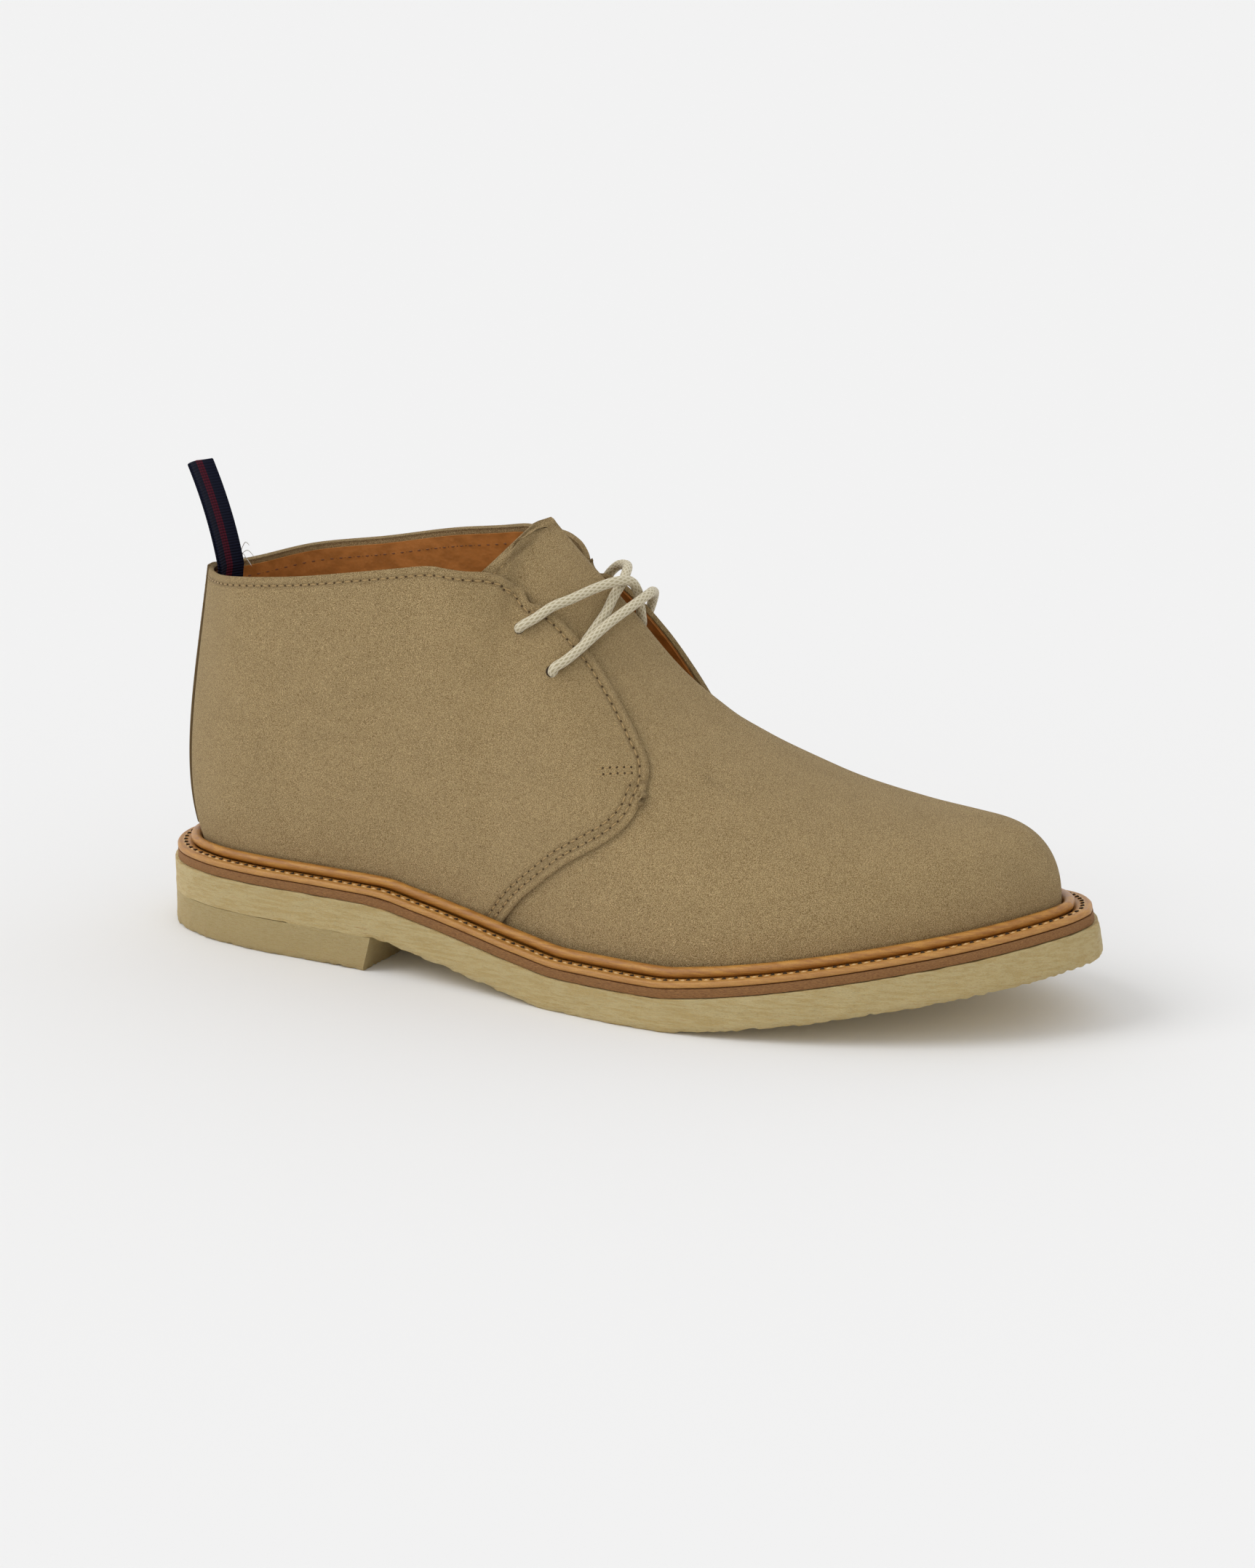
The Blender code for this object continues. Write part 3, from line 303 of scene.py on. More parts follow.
def lifted(loop, height):
    """Plan points set at a height above the sheet's underside, square to it."""
    slope = rise_slope(loop[:, 0])
    c = 1 / stretch(loop[:, 0])
    return np.c_[loop[:, 0] - height * slope * c, loop[:, 1], rise(loop[:, 0]) + height * c]


MIDSOLE_TOP = SHEET + MIDSOLE + 2 * GAP
UPPER_FOOT = MIDSOLE_TOP + GAP
WELT_REACH = WELT_INSET + FLANGE_WIDTH + BEAD_WIDTH + GAP


class Side:
    """One side of the upper's outer surface, as a grid of ribs."""

    def __init__(self, side, rows):
        self.side = side
        self.along = np.array([r[0] for r in rows])
        feather = even(half_outline(side, WELT_REACH), 401)
        self.feather = lifted(feather, UPPER_FOOT)
        run = np.gradient(feather, axis=0)
        run /= np.linalg.norm(run, axis=1)[:, None]
        run[0], run[-1] = (0, side), (0, -side)
        self.out = -side * np.c_[run[:, 1], -run[:, 0], np.zeros(len(run))]
        share = np.linspace(0, 1, 401)
        feet = np.stack([np.interp(self.along, share, self.feather[:, k]) for k in range(3)], 1)
        outs = np.stack([np.interp(self.along, share, self.out[:, k]) for k in range(3)], 1)
        tops, lows, highs = [], [], []
        for foot, out, row in zip(feet, outs, rows):
            _, x, y, height, part, foot_out, foot_up, head_out, head_down = row
            tall = height * part
            top = np.array([x * SOLE_LENGTH, y * BALL_WIDTH, foot[2] + tall])
            up = np.array([0, 0, tall])
            tops.append(top)
            lows.append(foot_out * BALL_WIDTH * out + foot_up * up)
            highs.append(head_out * BALL_WIDTH * out - head_down * up)
        self.tops, self.lows, self.highs = np.array(tops), np.array(lows), np.array(highs)

    def base(self, s, t):
        """Outer surface at s along the side and t up the rib."""
        s, t = np.broadcast_arrays(np.asarray(s, float), np.asarray(t, float))
        share = np.linspace(0, 1, 401)
        foot = np.stack([np.interp(s, share, self.feather[:, k]) for k in range(3)], -1)
        top = between(self.along, self.tops, s, flowing=True)
        low = foot + between(self.along, self.lows, s, flowing=True)
        high = top + between(self.along, self.highs, s, flowing=True)
        t = t[..., None]
        return ((1 - t) ** 3 * foot + 3 * t * (1 - t) ** 2 * low
                + 3 * t * t * (1 - t) * high + t ** 3 * top)

    def normal(self, s, t):
        """Unit normal of the surface, pointing out of the boot."""
        d = 0.004
        s, t = np.broadcast_arrays(np.asarray(s, float), np.asarray(t, float))
        s0, s1 = np.clip(s - d, 0, 1), np.clip(s + d, 0, 1)
        t0, t1 = np.clip(t - d, 0, 1), np.clip(t + d, 0, 1)
        n = np.cross(self.base(s1, t) - self.base(s0, t), self.base(s, t1) - self.base(s, t0))
        n = n * -self.side
        # on the centre line both sides share a normal with no sideways part
        ridge = ramp(s, RIDGE_FROM - 0.04, RIDGE_FROM) * (1 - ramp(1 - t, 0, 0.12))
        ends = 1 - ramp(s, 0, 0.01) + ramp(s, 0.97, 1)
        n[..., 1] *= (1 - ridge) * (1 - ends)
        return n / np.maximum(np.linalg.norm(n, axis=-1), 1e-12)[..., None]

    def at(self, s, t, out):
        """Point of the surface moved out along its normal."""
        return self.base(s, t) + np.asarray(out, float)[..., None] * self.normal(s, t)


SIDES = (Side(OUTER, OUTER_RIBS), Side(INNER, INNER_RIBS))


def edge(rows, at):
    """Panel edge on the ribs' grid, read at shares of its own length."""
    rows = np.array(rows)
    chord = np.r_[0, np.cumsum(np.hypot(*(np.diff(rows, axis=0) * (1.0, 0.35)).T))]
    return between(chord / chord[-1], rows, at, flowing=True)


def four_sided(foot, head, back, front, columns, ups):
    """Grid of (along, up) pairs between four edges that meet at their corners."""
    u = np.linspace(0, 1, columns)[:, None, None]
    v = np.asarray(ups)[None, :, None]
    f, h = foot(u[:, 0, 0])[:, None], head(u[:, 0, 0])[:, None]
    b, r = back(v[0, :, 0])[None], front(v[0, :, 0])[None]
    corner = ((1 - u) * (1 - v) * f[:1] + u * (1 - v) * f[-1:]
              + (1 - u) * v * h[:1] + u * v * h[-1:])
    return (1 - v) * f + v * h + (1 - u) * b + u * r - corner


def upper_ring(height, count, out=0.0):
    """Line round the upper at a height above the sheet's underside, just clear of it."""
    halves = []
    for side in SIDES:
        s = np.linspace(0, 1, 161)
        t = np.linspace(0, 0.35, 60)
        grid = side.base(s[:, None], t[None])
        level = (grid[..., 2] - rise(grid[..., 0])) / stretch(grid[..., 0])
        line = []
        for i in range(len(s)):
            at = float(np.interp(height, level[i], t)) if height > level[i, 0] else 0.0
            p, n = side.base(s[i], at), side.normal(s[i], at)
            flat = np.array([n[0], n[1], 0])
            q = p + (1.5 * GAP + out) * flat / np.linalg.norm(flat)
            q[2] = rise(q[0]) + height * stretch(q[0])
            line.append(q)
        halves.append(stations(np.array(line), count))
    return np.r_[halves[0], halves[1][-2:0:-1]]


def lift_of(side, s, t):
    """How far the inner flap stands off at its front corner."""
    if side.side == OUTER:
        return np.zeros(np.broadcast(s, t).shape)
    return FLAP_LIFT * ramp(t, 0.44, 0.68) * ramp(s, 0.24, 0.40)


def side_length(side):
    return float(np.linalg.norm(np.diff(side.feather, axis=0), axis=1).sum())


def dip_of(s, t):
    """The vamp lies a step under the quarters, and its tongue under the loose flaps."""
    under = 1 - ramp(s, 0.60, 0.70)
    loose = ramp(t, 0.50, 0.68) * (1 - ramp(s, 0.52, 0.60))
    deep = WALL + FLAP_AIR
    return VAMP_STEP * under * (1 - loose) + deep * loose



# The boot stands over the middle of its own floor print, as the solids do
print_line = plan_loop(0, 56)
SHIFT = np.array([*(-0.5 * (print_line.min(axis=0) + print_line.max(axis=0))), 0.0])

# Thicknesses that only the dressed boot shows
OUTER_EYELETS = ((0.424, 0.633), EYELETS[1])
SUEDE = 0.0014
LINING = 0.0007
LINING_HEAD = 0.980        # share of the rib where the lining ends, under the turned edge
STRIP = 0.0012
TONGUE = 0.0015
THREAD = 0.00028           # radius of the sewing thread
PITCH = 0.0030             # from stitch to stitch in the suede
WELT_PITCH = 0.0036
# Rows of stitches from the quarter's edge; the second row runs only beside the vamp
EDGE_ROWS = (0.0027, 0.0049)
HEM_ROWS = (0.0031,)       # from the tongue's own edge
LINING_ROW = 0.0046        # below the collar
BAR_TACK = ((0.533, 0.458), (0.563, 0.532))    # along and up, at the foot of the facing

# How finely the pieces are modelled: columns and rows of each sheet, points of each loop
QUARTER_GRID = (200, 170)
LINING_GRID = (90, 60)
VAMP_GRID = (120, 84)
WELT_COUNT = 150
CREPE_COUNT = 260
FINE = 700                 # points of an edge that distances are measured to
CLOTH_UV = (3.2, 1.1)

# Camera, found from the photo, and the lamp
CAMERA_AZIMUTH = 25.9
CAMERA_ELEVATION = 14.4
CAMERA_DISTANCE = 1.125
CAMERA_TARGET = (0.156, 0, 0.0573)
CAMERA_LENS = 85.84
LAMP_TOWARDS = (1.5, 1.2, -1.9)
LAMP_SPREAD = 38


# Shader helpers: a finish is one material, a tone is one socket in it

class Tone:
    """A shader socket that can be used in sums, so that patterns read as plain maths."""

    def __init__(self, finish, socket):
        self.finish, self.socket = finish, socket

    def maths(self, kind, a, b):
        return self.finish.node("Math", {"operation": kind}, a, b)

    def __add__(self, other):
        return self.maths("ADD", self, other)

    def __sub__(self, other):
        return self.maths("SUBTRACT", self, other)

    def __mul__(self, other):
        return self.maths("MULTIPLY", self, other)


class Finish:
    """One Principled material, built from patterns of Object or UV coordinates."""

    def __init__(self, name, colour, roughness, **fixed):
        self.material = bpy.data.materials.new(name)
        self.material.use_nodes = True
        self.tree = self.material.node_tree
        self.shader = self.tree.nodes["Principled BSDF"]
        self.set("Base Color", (*colour, 1) if isinstance(colour, tuple) else colour)
        self.set("Roughness", roughness)
        for socket, value in fixed.items():
            self.set(socket.replace("_", " "), value)

    def set(self, socket, value):
        place = self.shader.inputs[socket]
        if isinstance(value, Tone):
            self.tree.links.new(value.socket, place)
        else:
            place.default_value = value

    def node(self, kind, settings=None, *inputs, out=0, **named):
        made = self.tree.nodes.new("ShaderNode" + kind)
        for key, value in (settings or {}).items():
            setattr(made, key, value)
        for key, value in [*enumerate(inputs), *named.items()]:
            place = made.inputs[key.replace("_", " ") if isinstance(key, str) else key]
            if isinstance(value, Tone):
                self.tree.links.new(value.socket, place)
            elif value is not None:
                place.default_value = value
        return Tone(self, made.outputs[out])

    def place(self):
        return self.node("TexCoord", out="Object")

    def uv(self, axis):
        at = self.node("TexCoord", out="UV")
        return self.node("SeparateXYZ", None, at, out=axis)

    def mark(self, name):
        """A number kept on the piece's own points."""
        return self.node("Attribute", {"attribute_name": name}, out="Fac")

    def noise(self, scale, detail=3.0, rough=0.55, stretch=None):
        at = self.place()
        if stretch:
            at = self.node("Mapping", None, at, Scale=stretch)
        return self.node("TexNoise", None, None, at, Scale=scale, Detail=detail,
                         Roughness=rough, out="Fac")

    def cells(self, scale):
        return self.node("TexVoronoi", None, self.place(), Scale=scale, out="Distance")

    def step(self, value, low, high, start=0.0, end=1.0):
        """Smooth change from start to end while value goes from low to high."""
        return self.node("MapRange", {"interpolation_type": "SMOOTHSTEP"}, value, low, high,
                         start, end)

    def mix(self, share, one, other):
        def colour(c):
            return (*c, 1) if isinstance(c, tuple) else c
        made = self.tree.nodes.new("ShaderNodeMix")
        made.data_type = "RGBA"
        for key, value in ((0, share), (6, colour(one)), (7, colour(other))):
            if isinstance(value, Tone):
                self.tree.links.new(value.socket, made.inputs[key])
            else:
                made.inputs[key].default_value = value
        return Tone(self, made.outputs[2])

    def relief(self, height, depth):
        """Small relief of a real depth in metres."""
        made = self.node("Bump", None, 1.0, depth, Height=height)
        self.tree.links.new(made.socket, self.shader.inputs["Normal"])


def srgb(*parts):
    """Linear colour for one that is read, 0 to 255."""
    return tuple((c / 255 / 12.92) if c < 10 else ((c / 255 + 0.055) / 1.055) ** 2.4
                 for c in parts)


def suede_finish():
    """Short nap, brushed every way: faint clouds and strong fine grain."""
    f = Finish("sand_suede", srgb(179, 150, 101), 0.95)
    clouds = f.noise(11, 2.0, 0.5)
    brushed = f.noise(60, 3.0, 0.55, stretch=(1.0, 0.8, 1.4))
    grain = f.noise(900, 2.0, 0.60)
    fibre = f.noise(2200, 2.0, 0.7)
    tone = f.mix(f.step(clouds * 0.7 + brushed * 0.3, 0.36, 0.64), srgb(168, 139, 89),
                 srgb(182, 152, 101))
    nap = grain * 0.75 + fibre * 0.25
    tone = f.mix(f.step(nap, 0.50, 0.555, 0.0, 0.95), tone, srgb(232, 206, 156))
    tone = f.mix(f.step(nap, 0.50, 0.445, 0.0, 0.95), tone, srgb(116, 90, 52))
    # painted shade: cut edges are darker, and so is the furrow that a row of stitches pulls down
    tone = f.mix(f.mark("furrow_and_edge_shade") * 0.55, tone, srgb(104, 80, 46))
    f.set("Base Color", tone)
    f.set("Sheen Weight", 0.08)
    f.set("Sheen Roughness", 0.5)
    f.set("Specular IOR Level", 0.10)
    f.relief(nap + brushed * 0.2, 0.00060)
    return f.material


def lining_finish():
    f = Finish("tan_lining", srgb(178, 114, 54), 0.45)
    clouds = f.noise(30, 3.0, 0.5)
    pores = f.cells(900)
    f.set("Base Color", f.mix(f.step(clouds, 0.35, 0.65), srgb(170, 108, 48), srgb(192, 124, 60)))
    f.set("Roughness", f.step(pores, 0.1, 0.5, 0.55, 0.42))
    f.relief(pores, 0.00006)
    return f.material


def welt_finish(name, pale, deep, gloss):
    f = Finish(name, pale, gloss)
    clouds = f.noise(36, 4.0, 0.6)
    grain = f.noise(420, 4.0, 0.65)
    tone = f.mix(f.step(clouds, 0.35, 0.68), deep, pale)
    tone = f.mix(f.step(grain, 0.50, 0.34, 0.0, 0.6), tone, srgb(122, 74, 32))
    f.set("Base Color", tone)
    f.set("Roughness", f.step(clouds + grain * 0.4, 0.45, 0.95, gloss, gloss + 0.2))
    f.set("Coat Weight", 0.18)
    f.set("Coat Roughness", 0.25)
    f.relief(grain, 0.00010)
    return f.material


def cut_leather_finish():
    """Raw edge of the midsole: brown, fibrous, with pale flecks."""
    f = Finish("cut_leather", srgb(140, 98, 58), 0.85)
    layers = f.noise(260, 4.0, 0.7, stretch=(0.35, 0.35, 2.2))
    flecks = f.noise(900, 2.0, 0.6)
    tone = f.mix(f.step(layers, 0.36, 0.64), srgb(124, 80, 42), srgb(176, 126, 72))
    tone = f.mix(f.step(flecks, 0.58, 0.68, 0.0, 0.6), tone, srgb(190, 152, 106))
    f.set("Base Color", tone)
    f.relief(layers, 0.0004)
    return f.material


def crepe_finish():
    """Natural crepe: honey coloured and wrinkled, amber low down, with a few dark specks."""
    f = Finish("crepe", srgb(232, 206, 144), 0.6)
    clouds = f.noise(34, 4.0, 0.6)
    wrinkles = f.noise(260, 5.0, 0.66, stretch=(1.0, 1.0, 1.25))
    specks = f.noise(620, 1.0, 0.4)
    down = f.mark("down")
    tone = f.mix(f.step(clouds, 0.36, 0.64), srgb(234, 203, 134), srgb(246, 222, 160))
    tone = f.mix(f.step(clouds * 0.9 + down * 0.14, 0.56, 0.74, 0.0, 0.5), tone,
                 srgb(214, 158, 76))
    tone = f.mix(f.step(wrinkles, 0.53, 0.68, 0.0, 0.5), tone, srgb(250, 238, 196))
    tone = f.mix(f.step(wrinkles, 0.44, 0.30, 0.0, 0.5), tone, srgb(196, 152, 84))
    tone = f.mix(f.step(specks, 0.715, 0.76, 0.0, 0.8), tone, srgb(84, 54, 26))
    f.set("Base Color", tone)
    f.set("Roughness", f.step(wrinkles, 0.3, 0.7, 0.70, 0.42))
    f.relief(wrinkles + clouds * 0.4, 0.0011)
    return f.material


def thread_finish(name, colour):
    f = Finish(name, colour, 0.7)
    f.set("Sheen Weight", 0.2)
    return f.material


def braid_finish():
    """Round braided cotton: U runs along the lace in turns, V runs round it."""
    f = Finish("braided_cotton", srgb(204, 194, 166), 0.85)
    along, round_ = f.uv(0), f.uv(1)
    one = f.node("Math", {"operation": "SINE"}, (along + round_ * 4.0) * (2 * math.pi))
    other = f.node("Math", {"operation": "SINE"}, (along - round_ * 4.0) * (2 * math.pi))
    weave = f.node("Math", {"operation": "MAXIMUM"}, one, other)
    f.set("Base Color", f.mix(f.step(weave, -0.3, 0.9), srgb(176, 163, 131), srgb(212, 202, 175)))
    f.set("Sheen Weight", 0.2)
    f.relief(weave, 0.00007)
    return f.material


def ribbon_finish():
    """Ribbed navy ribbon with a wine stripe down its middle: U across, V along in ribs."""
    f = Finish("ribbed_ribbon", srgb(30, 36, 58), 0.8)
    across, along = f.uv(0), f.uv(1)
    ribs = f.node("Math", {"operation": "SINE"}, along * (2 * math.pi))
    off = f.node("Math", {"operation": "ABSOLUTE"}, across - 0.5)
    stripe = f.step(off, 0.125, 0.145, 1.0, 0.0)
    line = f.step(f.node("Math", {"operation": "ABSOLUTE"}, off - 0.05), 0.010, 0.022, 0.7, 0.0)
    tone = f.mix(stripe, srgb(18, 22, 42), srgb(88, 18, 36))
    tone = f.mix(line, tone, srgb(40, 18, 40))
    tone = f.mix(f.step(ribs, -0.9, 0.5, 0.5, 0.0), tone, srgb(9, 10, 20))
    f.set("Base Color", tone)
    f.set("Specular IOR Level", 0.12)
    f.relief(ribs, 0.00010)
    return f.material


SAND = suede_finish()
TAN = lining_finish()
BEAD = welt_finish("waxed_bead", srgb(196, 140, 58), srgb(164, 108, 40), 0.30)
FLAT = welt_finish("waxed_flange", srgb(196, 144, 72), srgb(174, 120, 54), 0.42)
RAW = cut_leather_finish()
CREPE = crepe_finish()
SAND_THREAD = thread_finish("sand_thread", srgb(166, 137, 88))
CREAM_THREAD = thread_finish("cream_thread", srgb(206, 172, 118))
TAN_THREAD = thread_finish("tan_thread", srgb(120, 76, 38))
# painted shade: dark discs stand for the shadowed insides of holes
HOLE_SHADE = Finish("needle_hole_shade", srgb(50, 36, 20), 1.0).material
PRICK_SHADE = Finish("needle_prick_shade", srgb(74, 56, 32), 1.0).material
COTTON = braid_finish()
RIBBON = ribbon_finish()
FRAY = thread_finish("loose_thread", srgb(226, 222, 212))


# Modelling helpers

def clear_selection():
    if bpy.context.object and bpy.context.object.mode != "OBJECT":
        bpy.ops.object.mode_set(mode="OBJECT")
    bpy.ops.object.select_all(action="DESELECT")


def pick(obj):
    clear_selection()
    obj.select_set(True)
    bpy.context.view_layer.objects.active = obj


def finish_piece(obj, name, material, angle=40):
    obj.name = name
    obj.data.name = name
    obj.data.materials.clear()
    obj.data.materials.append(material)
    pick(obj)
    bpy.ops.object.shade_smooth_by_angle(angle=math.radians(angle))
    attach(obj, "root")
    return obj


def add_and_apply(obj, kind, **settings):
    modifier = obj.modifiers.new(kind.title(), kind)
    for key, value in settings.items():
        setattr(modifier, key, value)
    pick(obj)
    bpy.ops.object.modifier_apply(modifier=modifier.name)


def cloth(points, uv=None, marks=None):
    """A primitive grid laid over rows of points: points[column, row]."""
    columns, rows = points.shape[:2]
    clear_selection()
    bpy.ops.mesh.primitive_grid_add(x_subdivisions=columns - 1, y_subdivisions=rows - 1, size=1)
    obj = bpy.context.object
    flat = np.swapaxes(points, 0, 1).reshape(-1, 3) + SHIFT
    obj.data.vertices.foreach_set("co", flat.astype(np.float32).ravel())
    if uv is not None:
        flat_uv = np.swapaxes(uv, 0, 1).reshape(-1, 2)
        corners = np.empty(len(obj.data.loops), int)
        obj.data.loops.foreach_get("vertex_index", corners)
        obj.data.uv_layers[0].data.foreach_set("uv", flat_uv[corners].astype(np.float32).ravel())
    for name, values in (marks or {}).items():
        mark = obj.data.attributes.new(name, "FLOAT", "POINT")
        mark.data.foreach_set("value", np.swapaxes(values, 0, 1).astype(np.float32).ravel())
    obj.data.update()
    return obj


def cloth_uv(s, t):
    return np.stack([s * CLOTH_UV[0], t * CLOTH_UV[1]], -1)


def join(pieces):
    clear_selection()
    for piece in pieces:
        piece.select_set(True)
    bpy.context.view_layer.objects.active = pieces[0]
    bpy.ops.object.join()
    return bpy.context.object


def edit_all(obj, *steps):
    """Run mesh operators on the whole of a piece: pairs of an operator and its settings."""
    pick(obj)
    bpy.ops.object.mode_set(mode="EDIT")
    bpy.ops.mesh.select_all(action="SELECT")
    for operator, settings in steps:
        operator(**settings)
    bpy.ops.object.mode_set(mode="OBJECT")


FACE_OUTWARD = (bpy.ops.mesh.normals_make_consistent, {"inside": False})


def weld(obj, distance=0.00004):
    edit_all(obj, (bpy.ops.mesh.remove_doubles, {"threshold": distance}), FACE_OUTWARD)


def face_out(obj, centre=(0.0, 0.0, 0.05)):
    """Turn an open sheet so that it faces away from the inside of the boot."""
    total = 0.0
    for face in obj.data.polygons:
        away = face.center - Vector(centre)
        total += face.normal.dot(away) * face.area
    if total < 0:
        edit_all(obj, (bpy.ops.mesh.flip_normals, {}))


def raw_piece(name, verts, faces):
    """A linked object from lists of points and faces."""
    mesh = bpy.data.meshes.new(name)
    mesh.from_pydata([tuple(v) for v in verts], [], faces)
    obj = bpy.data.objects.new(name, mesh)
    bpy.context.scene.collection.objects.link(obj)
    return obj


def thicken(obj, wall, rounding):
    add_and_apply(obj, "SOLIDIFY", thickness=wall, offset=-1, use_even_offset=False)
    if rounding:
        add_and_apply(obj, "BEVEL", width=rounding, segments=2, limit_method="ANGLE",
                      angle_limit=math.radians(50))


# Suede panels

def quarter_places(columns, rows):
    head_rows = [(0.0, 1.0), (0.10, 1.0), (0.20, 1.0), (0.28, 1.0)] + list(FACING[::-1])
    grid = four_sided(
        foot=lambda u: np.c_[u * SEAM[0][0], 0 * u],
        head=lambda u: np.minimum(edge(head_rows, u), 1.0),
        back=lambda v: np.c_[0 * v, v],
        front=lambda v: edge(SEAM, v),
        columns=columns, ups=np.linspace(0, 1, rows))
    return grid[..., 0], np.clip(grid[..., 1], 0, 1)


def vamp_places(side, columns, rows):
    lap = SEAM_LAP / side_length(side)
    margin = [(a - lap, b) for a, b in SEAM[:6]] + list(TONGUE_EDGE)
    up = np.interp(np.linspace(0, 1, rows), (0, 0.40, 0.72, 1), (0, 0.45, 0.84, 1))
    start = between([m[1] for m in margin], [m[0] for m in margin], up)
    last = (RIDGE_FROM - start[-1]) / (1 - start[-1])
    knot = round(columns * TONGUE_COLUMNS)
    middle = start + (1 - start) * (TONGUE_COLUMNS + (last - TONGUE_COLUMNS) * up ** 2)
    u = np.arange(columns)[:, None]
    s = np.where(u <= knot, start + (middle - start) * u / knot,
                 middle + (1 - middle) * (u - knot) / (columns - 1 - knot))
    return s, np.broadcast_to(up, s.shape), knot


def nearest(points, line):
    """Distance from each point of a grid to a line of points."""
    flat = points.reshape(-1, 3)
    gap = np.full(len(flat), 1.0)
    for spot in line:
        gap = np.minimum(gap, np.linalg.norm(flat - spot, axis=1))
    return gap.reshape(points.shape[:2])


def furrow(gap, rows, half=0.0011):
    """Share of a stitched furrow at a distance from the edge: 1 in the middle of a row."""
    return np.maximum.reduce([1 - ramp(np.abs(gap - row), 0.2 * half, half) for row in rows])


def quarter_sheet(side, columns, rows):
    s, t = quarter_places(columns, rows)
    flat = side.at(s, t, lift_of(side, s, t))
    front_line, head_line = even(flat[-1], FINE), even(flat[:, -1], FINE)
    front, top = nearest(flat, front_line), nearest(flat, head_line)
    gap = np.minimum(front, top)
    low = 1 - ramp(t, FACING[3][1] - 0.04, FACING[3][1] + 0.04)
    marks = np.maximum(furrow(gap, EDGE_ROWS[:1]), furrow(front, EDGE_ROWS[1:]) * low)
    # the edge is bevelled by the knife and the rows of stitches pull the suede down
    sink = 0.00022 * marks + 0.0003 * (1 - ramp(gap, 0.0, 0.0010))
    points = soften(side.at(s, t, lift_of(side, s, t) - sink - settle(side, s, t)), s, t, gap)
    # painted shade: the mark darkens the suede in the stitched furrows and along the cut edge
    marks = np.maximum(0.8 * marks, 0.3 * (1 - ramp(gap, 0.0002, 0.0012)))
    uv = cloth_uv(s, t)
    return cloth(points, uv, {"furrow_and_edge_shade": marks})


def soften(points, s, t, gap):
    """Even out the panel along the shoe where the ribs' heads turn to the centre line."""
    even_out = points.copy()
    for _ in range(70):
        even_out[1:-1] = 0.5 * even_out[1:-1] + 0.25 * (even_out[:-2] + even_out[2:])
    share = (ramp(s, 0.29, 0.37) * (1 - ramp(s, 0.47, 0.53)) * ramp(t, 0.15, 0.35)
             * ramp(gap, 0.003, 0.012))
    return points + share[..., None] * (even_out - points)


# Soft troughs that wear and the last leave: side, along, up, reach along, reach up, slant, depth
TROUGHS = (
    (-1, 0.30, 0.52, 0.030, 0.16, 0.35, 0.0005),
    (-1, 0.20, 0.40, 0.024, 0.20, -0.20, 0.0004),
    (-1, 0.63, 0.62, 0.012, 0.22, -0.25, 0.0005),
    (-1, 0.67, 0.55, 0.012, 0.20, -0.15, 0.0004),
    (1, 0.28, 0.50, 0.030, 0.18, 0.30, 0.0006),
    (1, 0.40, 0.36, 0.022, 0.16, 0.40, 0.0005),
    (1, 0.62, 0.62, 0.012, 0.24, -0.20, 0.0005),
    (1, 0.66, 0.52, 0.013, 0.20, -0.10, 0.0004),
)


def settle(side, s, t):
    """How deep the soft troughs are at a place."""
    deep = np.zeros(np.broadcast(s, t).shape)
    for which, s0, t0, along, up, slant, depth in TROUGHS:
        if which == side.side:
            a = (s - s0 - slant * 0.1 * (t - t0)) / along
            b = (t - t0) / up
            deep += depth * np.exp(-a * a - b * b)
    return deep


def build_quarters():
    halves = []
    for side in SIDES:
        sheet = quarter_sheet(side, *QUARTER_GRID)
        face_out(sheet)
        thicken(sheet, SUEDE, 0.0004)
        halves.append(sheet)
    quarters = join(halves)
    return finish_piece(quarters, "quarters", SAND)


def build_lining():
    halves = []
    for side in SIDES:
        s, t = quarter_places(*LINING_GRID)
        s, t = s * 0.988, t * LINING_HEAD
        points = side.at(s, t, lift_of(side, s, t) - SUEDE - 0.00005)
        sheet = cloth(points, cloth_uv(s, t))
        face_out(sheet)
        thicken(sheet, LINING, 0.0)
        halves.append(sheet)
    return finish_piece(join(halves), "lining", TAN)


def straighten_tip(grid, s, t):
    """Lay the sheet straight from a row just below the ridge up to it, at the tongue's tip."""
    low = np.searchsorted(t[0], TIP_ROW)
    share = np.linspace(0, 1, len(t[0]) - low)[:, None]
    straight = grid[:, low, None] * (1 - share) + grid[:, -1, None] * share
    weight = 1 - ramp(s[:, low:], RIDGE_FROM + 0.02, RIDGE_FROM + 0.06)
    grid[:, low:] += weight[..., None] * (straight - grid[:, low:])


def vamp_halves(depth, columns, rows):
    """Both halves of the vamp at a depth below the ribs' surface, meeting on the ridge."""
    halves = []
    for side in SIDES:
        s, t, knot = vamp_places(side, columns, rows)
        out_of_tip = TIP_ROW + (1 - TIP_ROW) * ramp(s, RIDGE_FROM + 0.02, RIDGE_FROM + 0.10)
        points = side.at(s, t, -dip_of(s, t) - settle(side, s, t))
        halves.append(points - depth * side.normal(s, np.minimum(t, out_of_tip)))
    centre = np.zeros((columns, rows), bool)
    centre[-1, :] = True
    centre[knot:, -1] = True
    mean = 0.5 * (halves[0][centre] + halves[1][centre])
    ridge = 0.5 * (halves[0][:, -1] + halves[1][:, -1])
    for grid, side in zip(halves, SIDES):
        s, t, knot = vamp_places(side, columns, rows)
        shift = ridge - grid[:, -1]
        shift[:knot] = shift[knot] * np.linspace(0, 1, knot)[:, None] ** 2
        grid += shift[:, None] * ramp(t, 0.70, 1.0)[..., None]
        straighten_tip(grid, s, t)
        grid[centre] = mean
    return halves


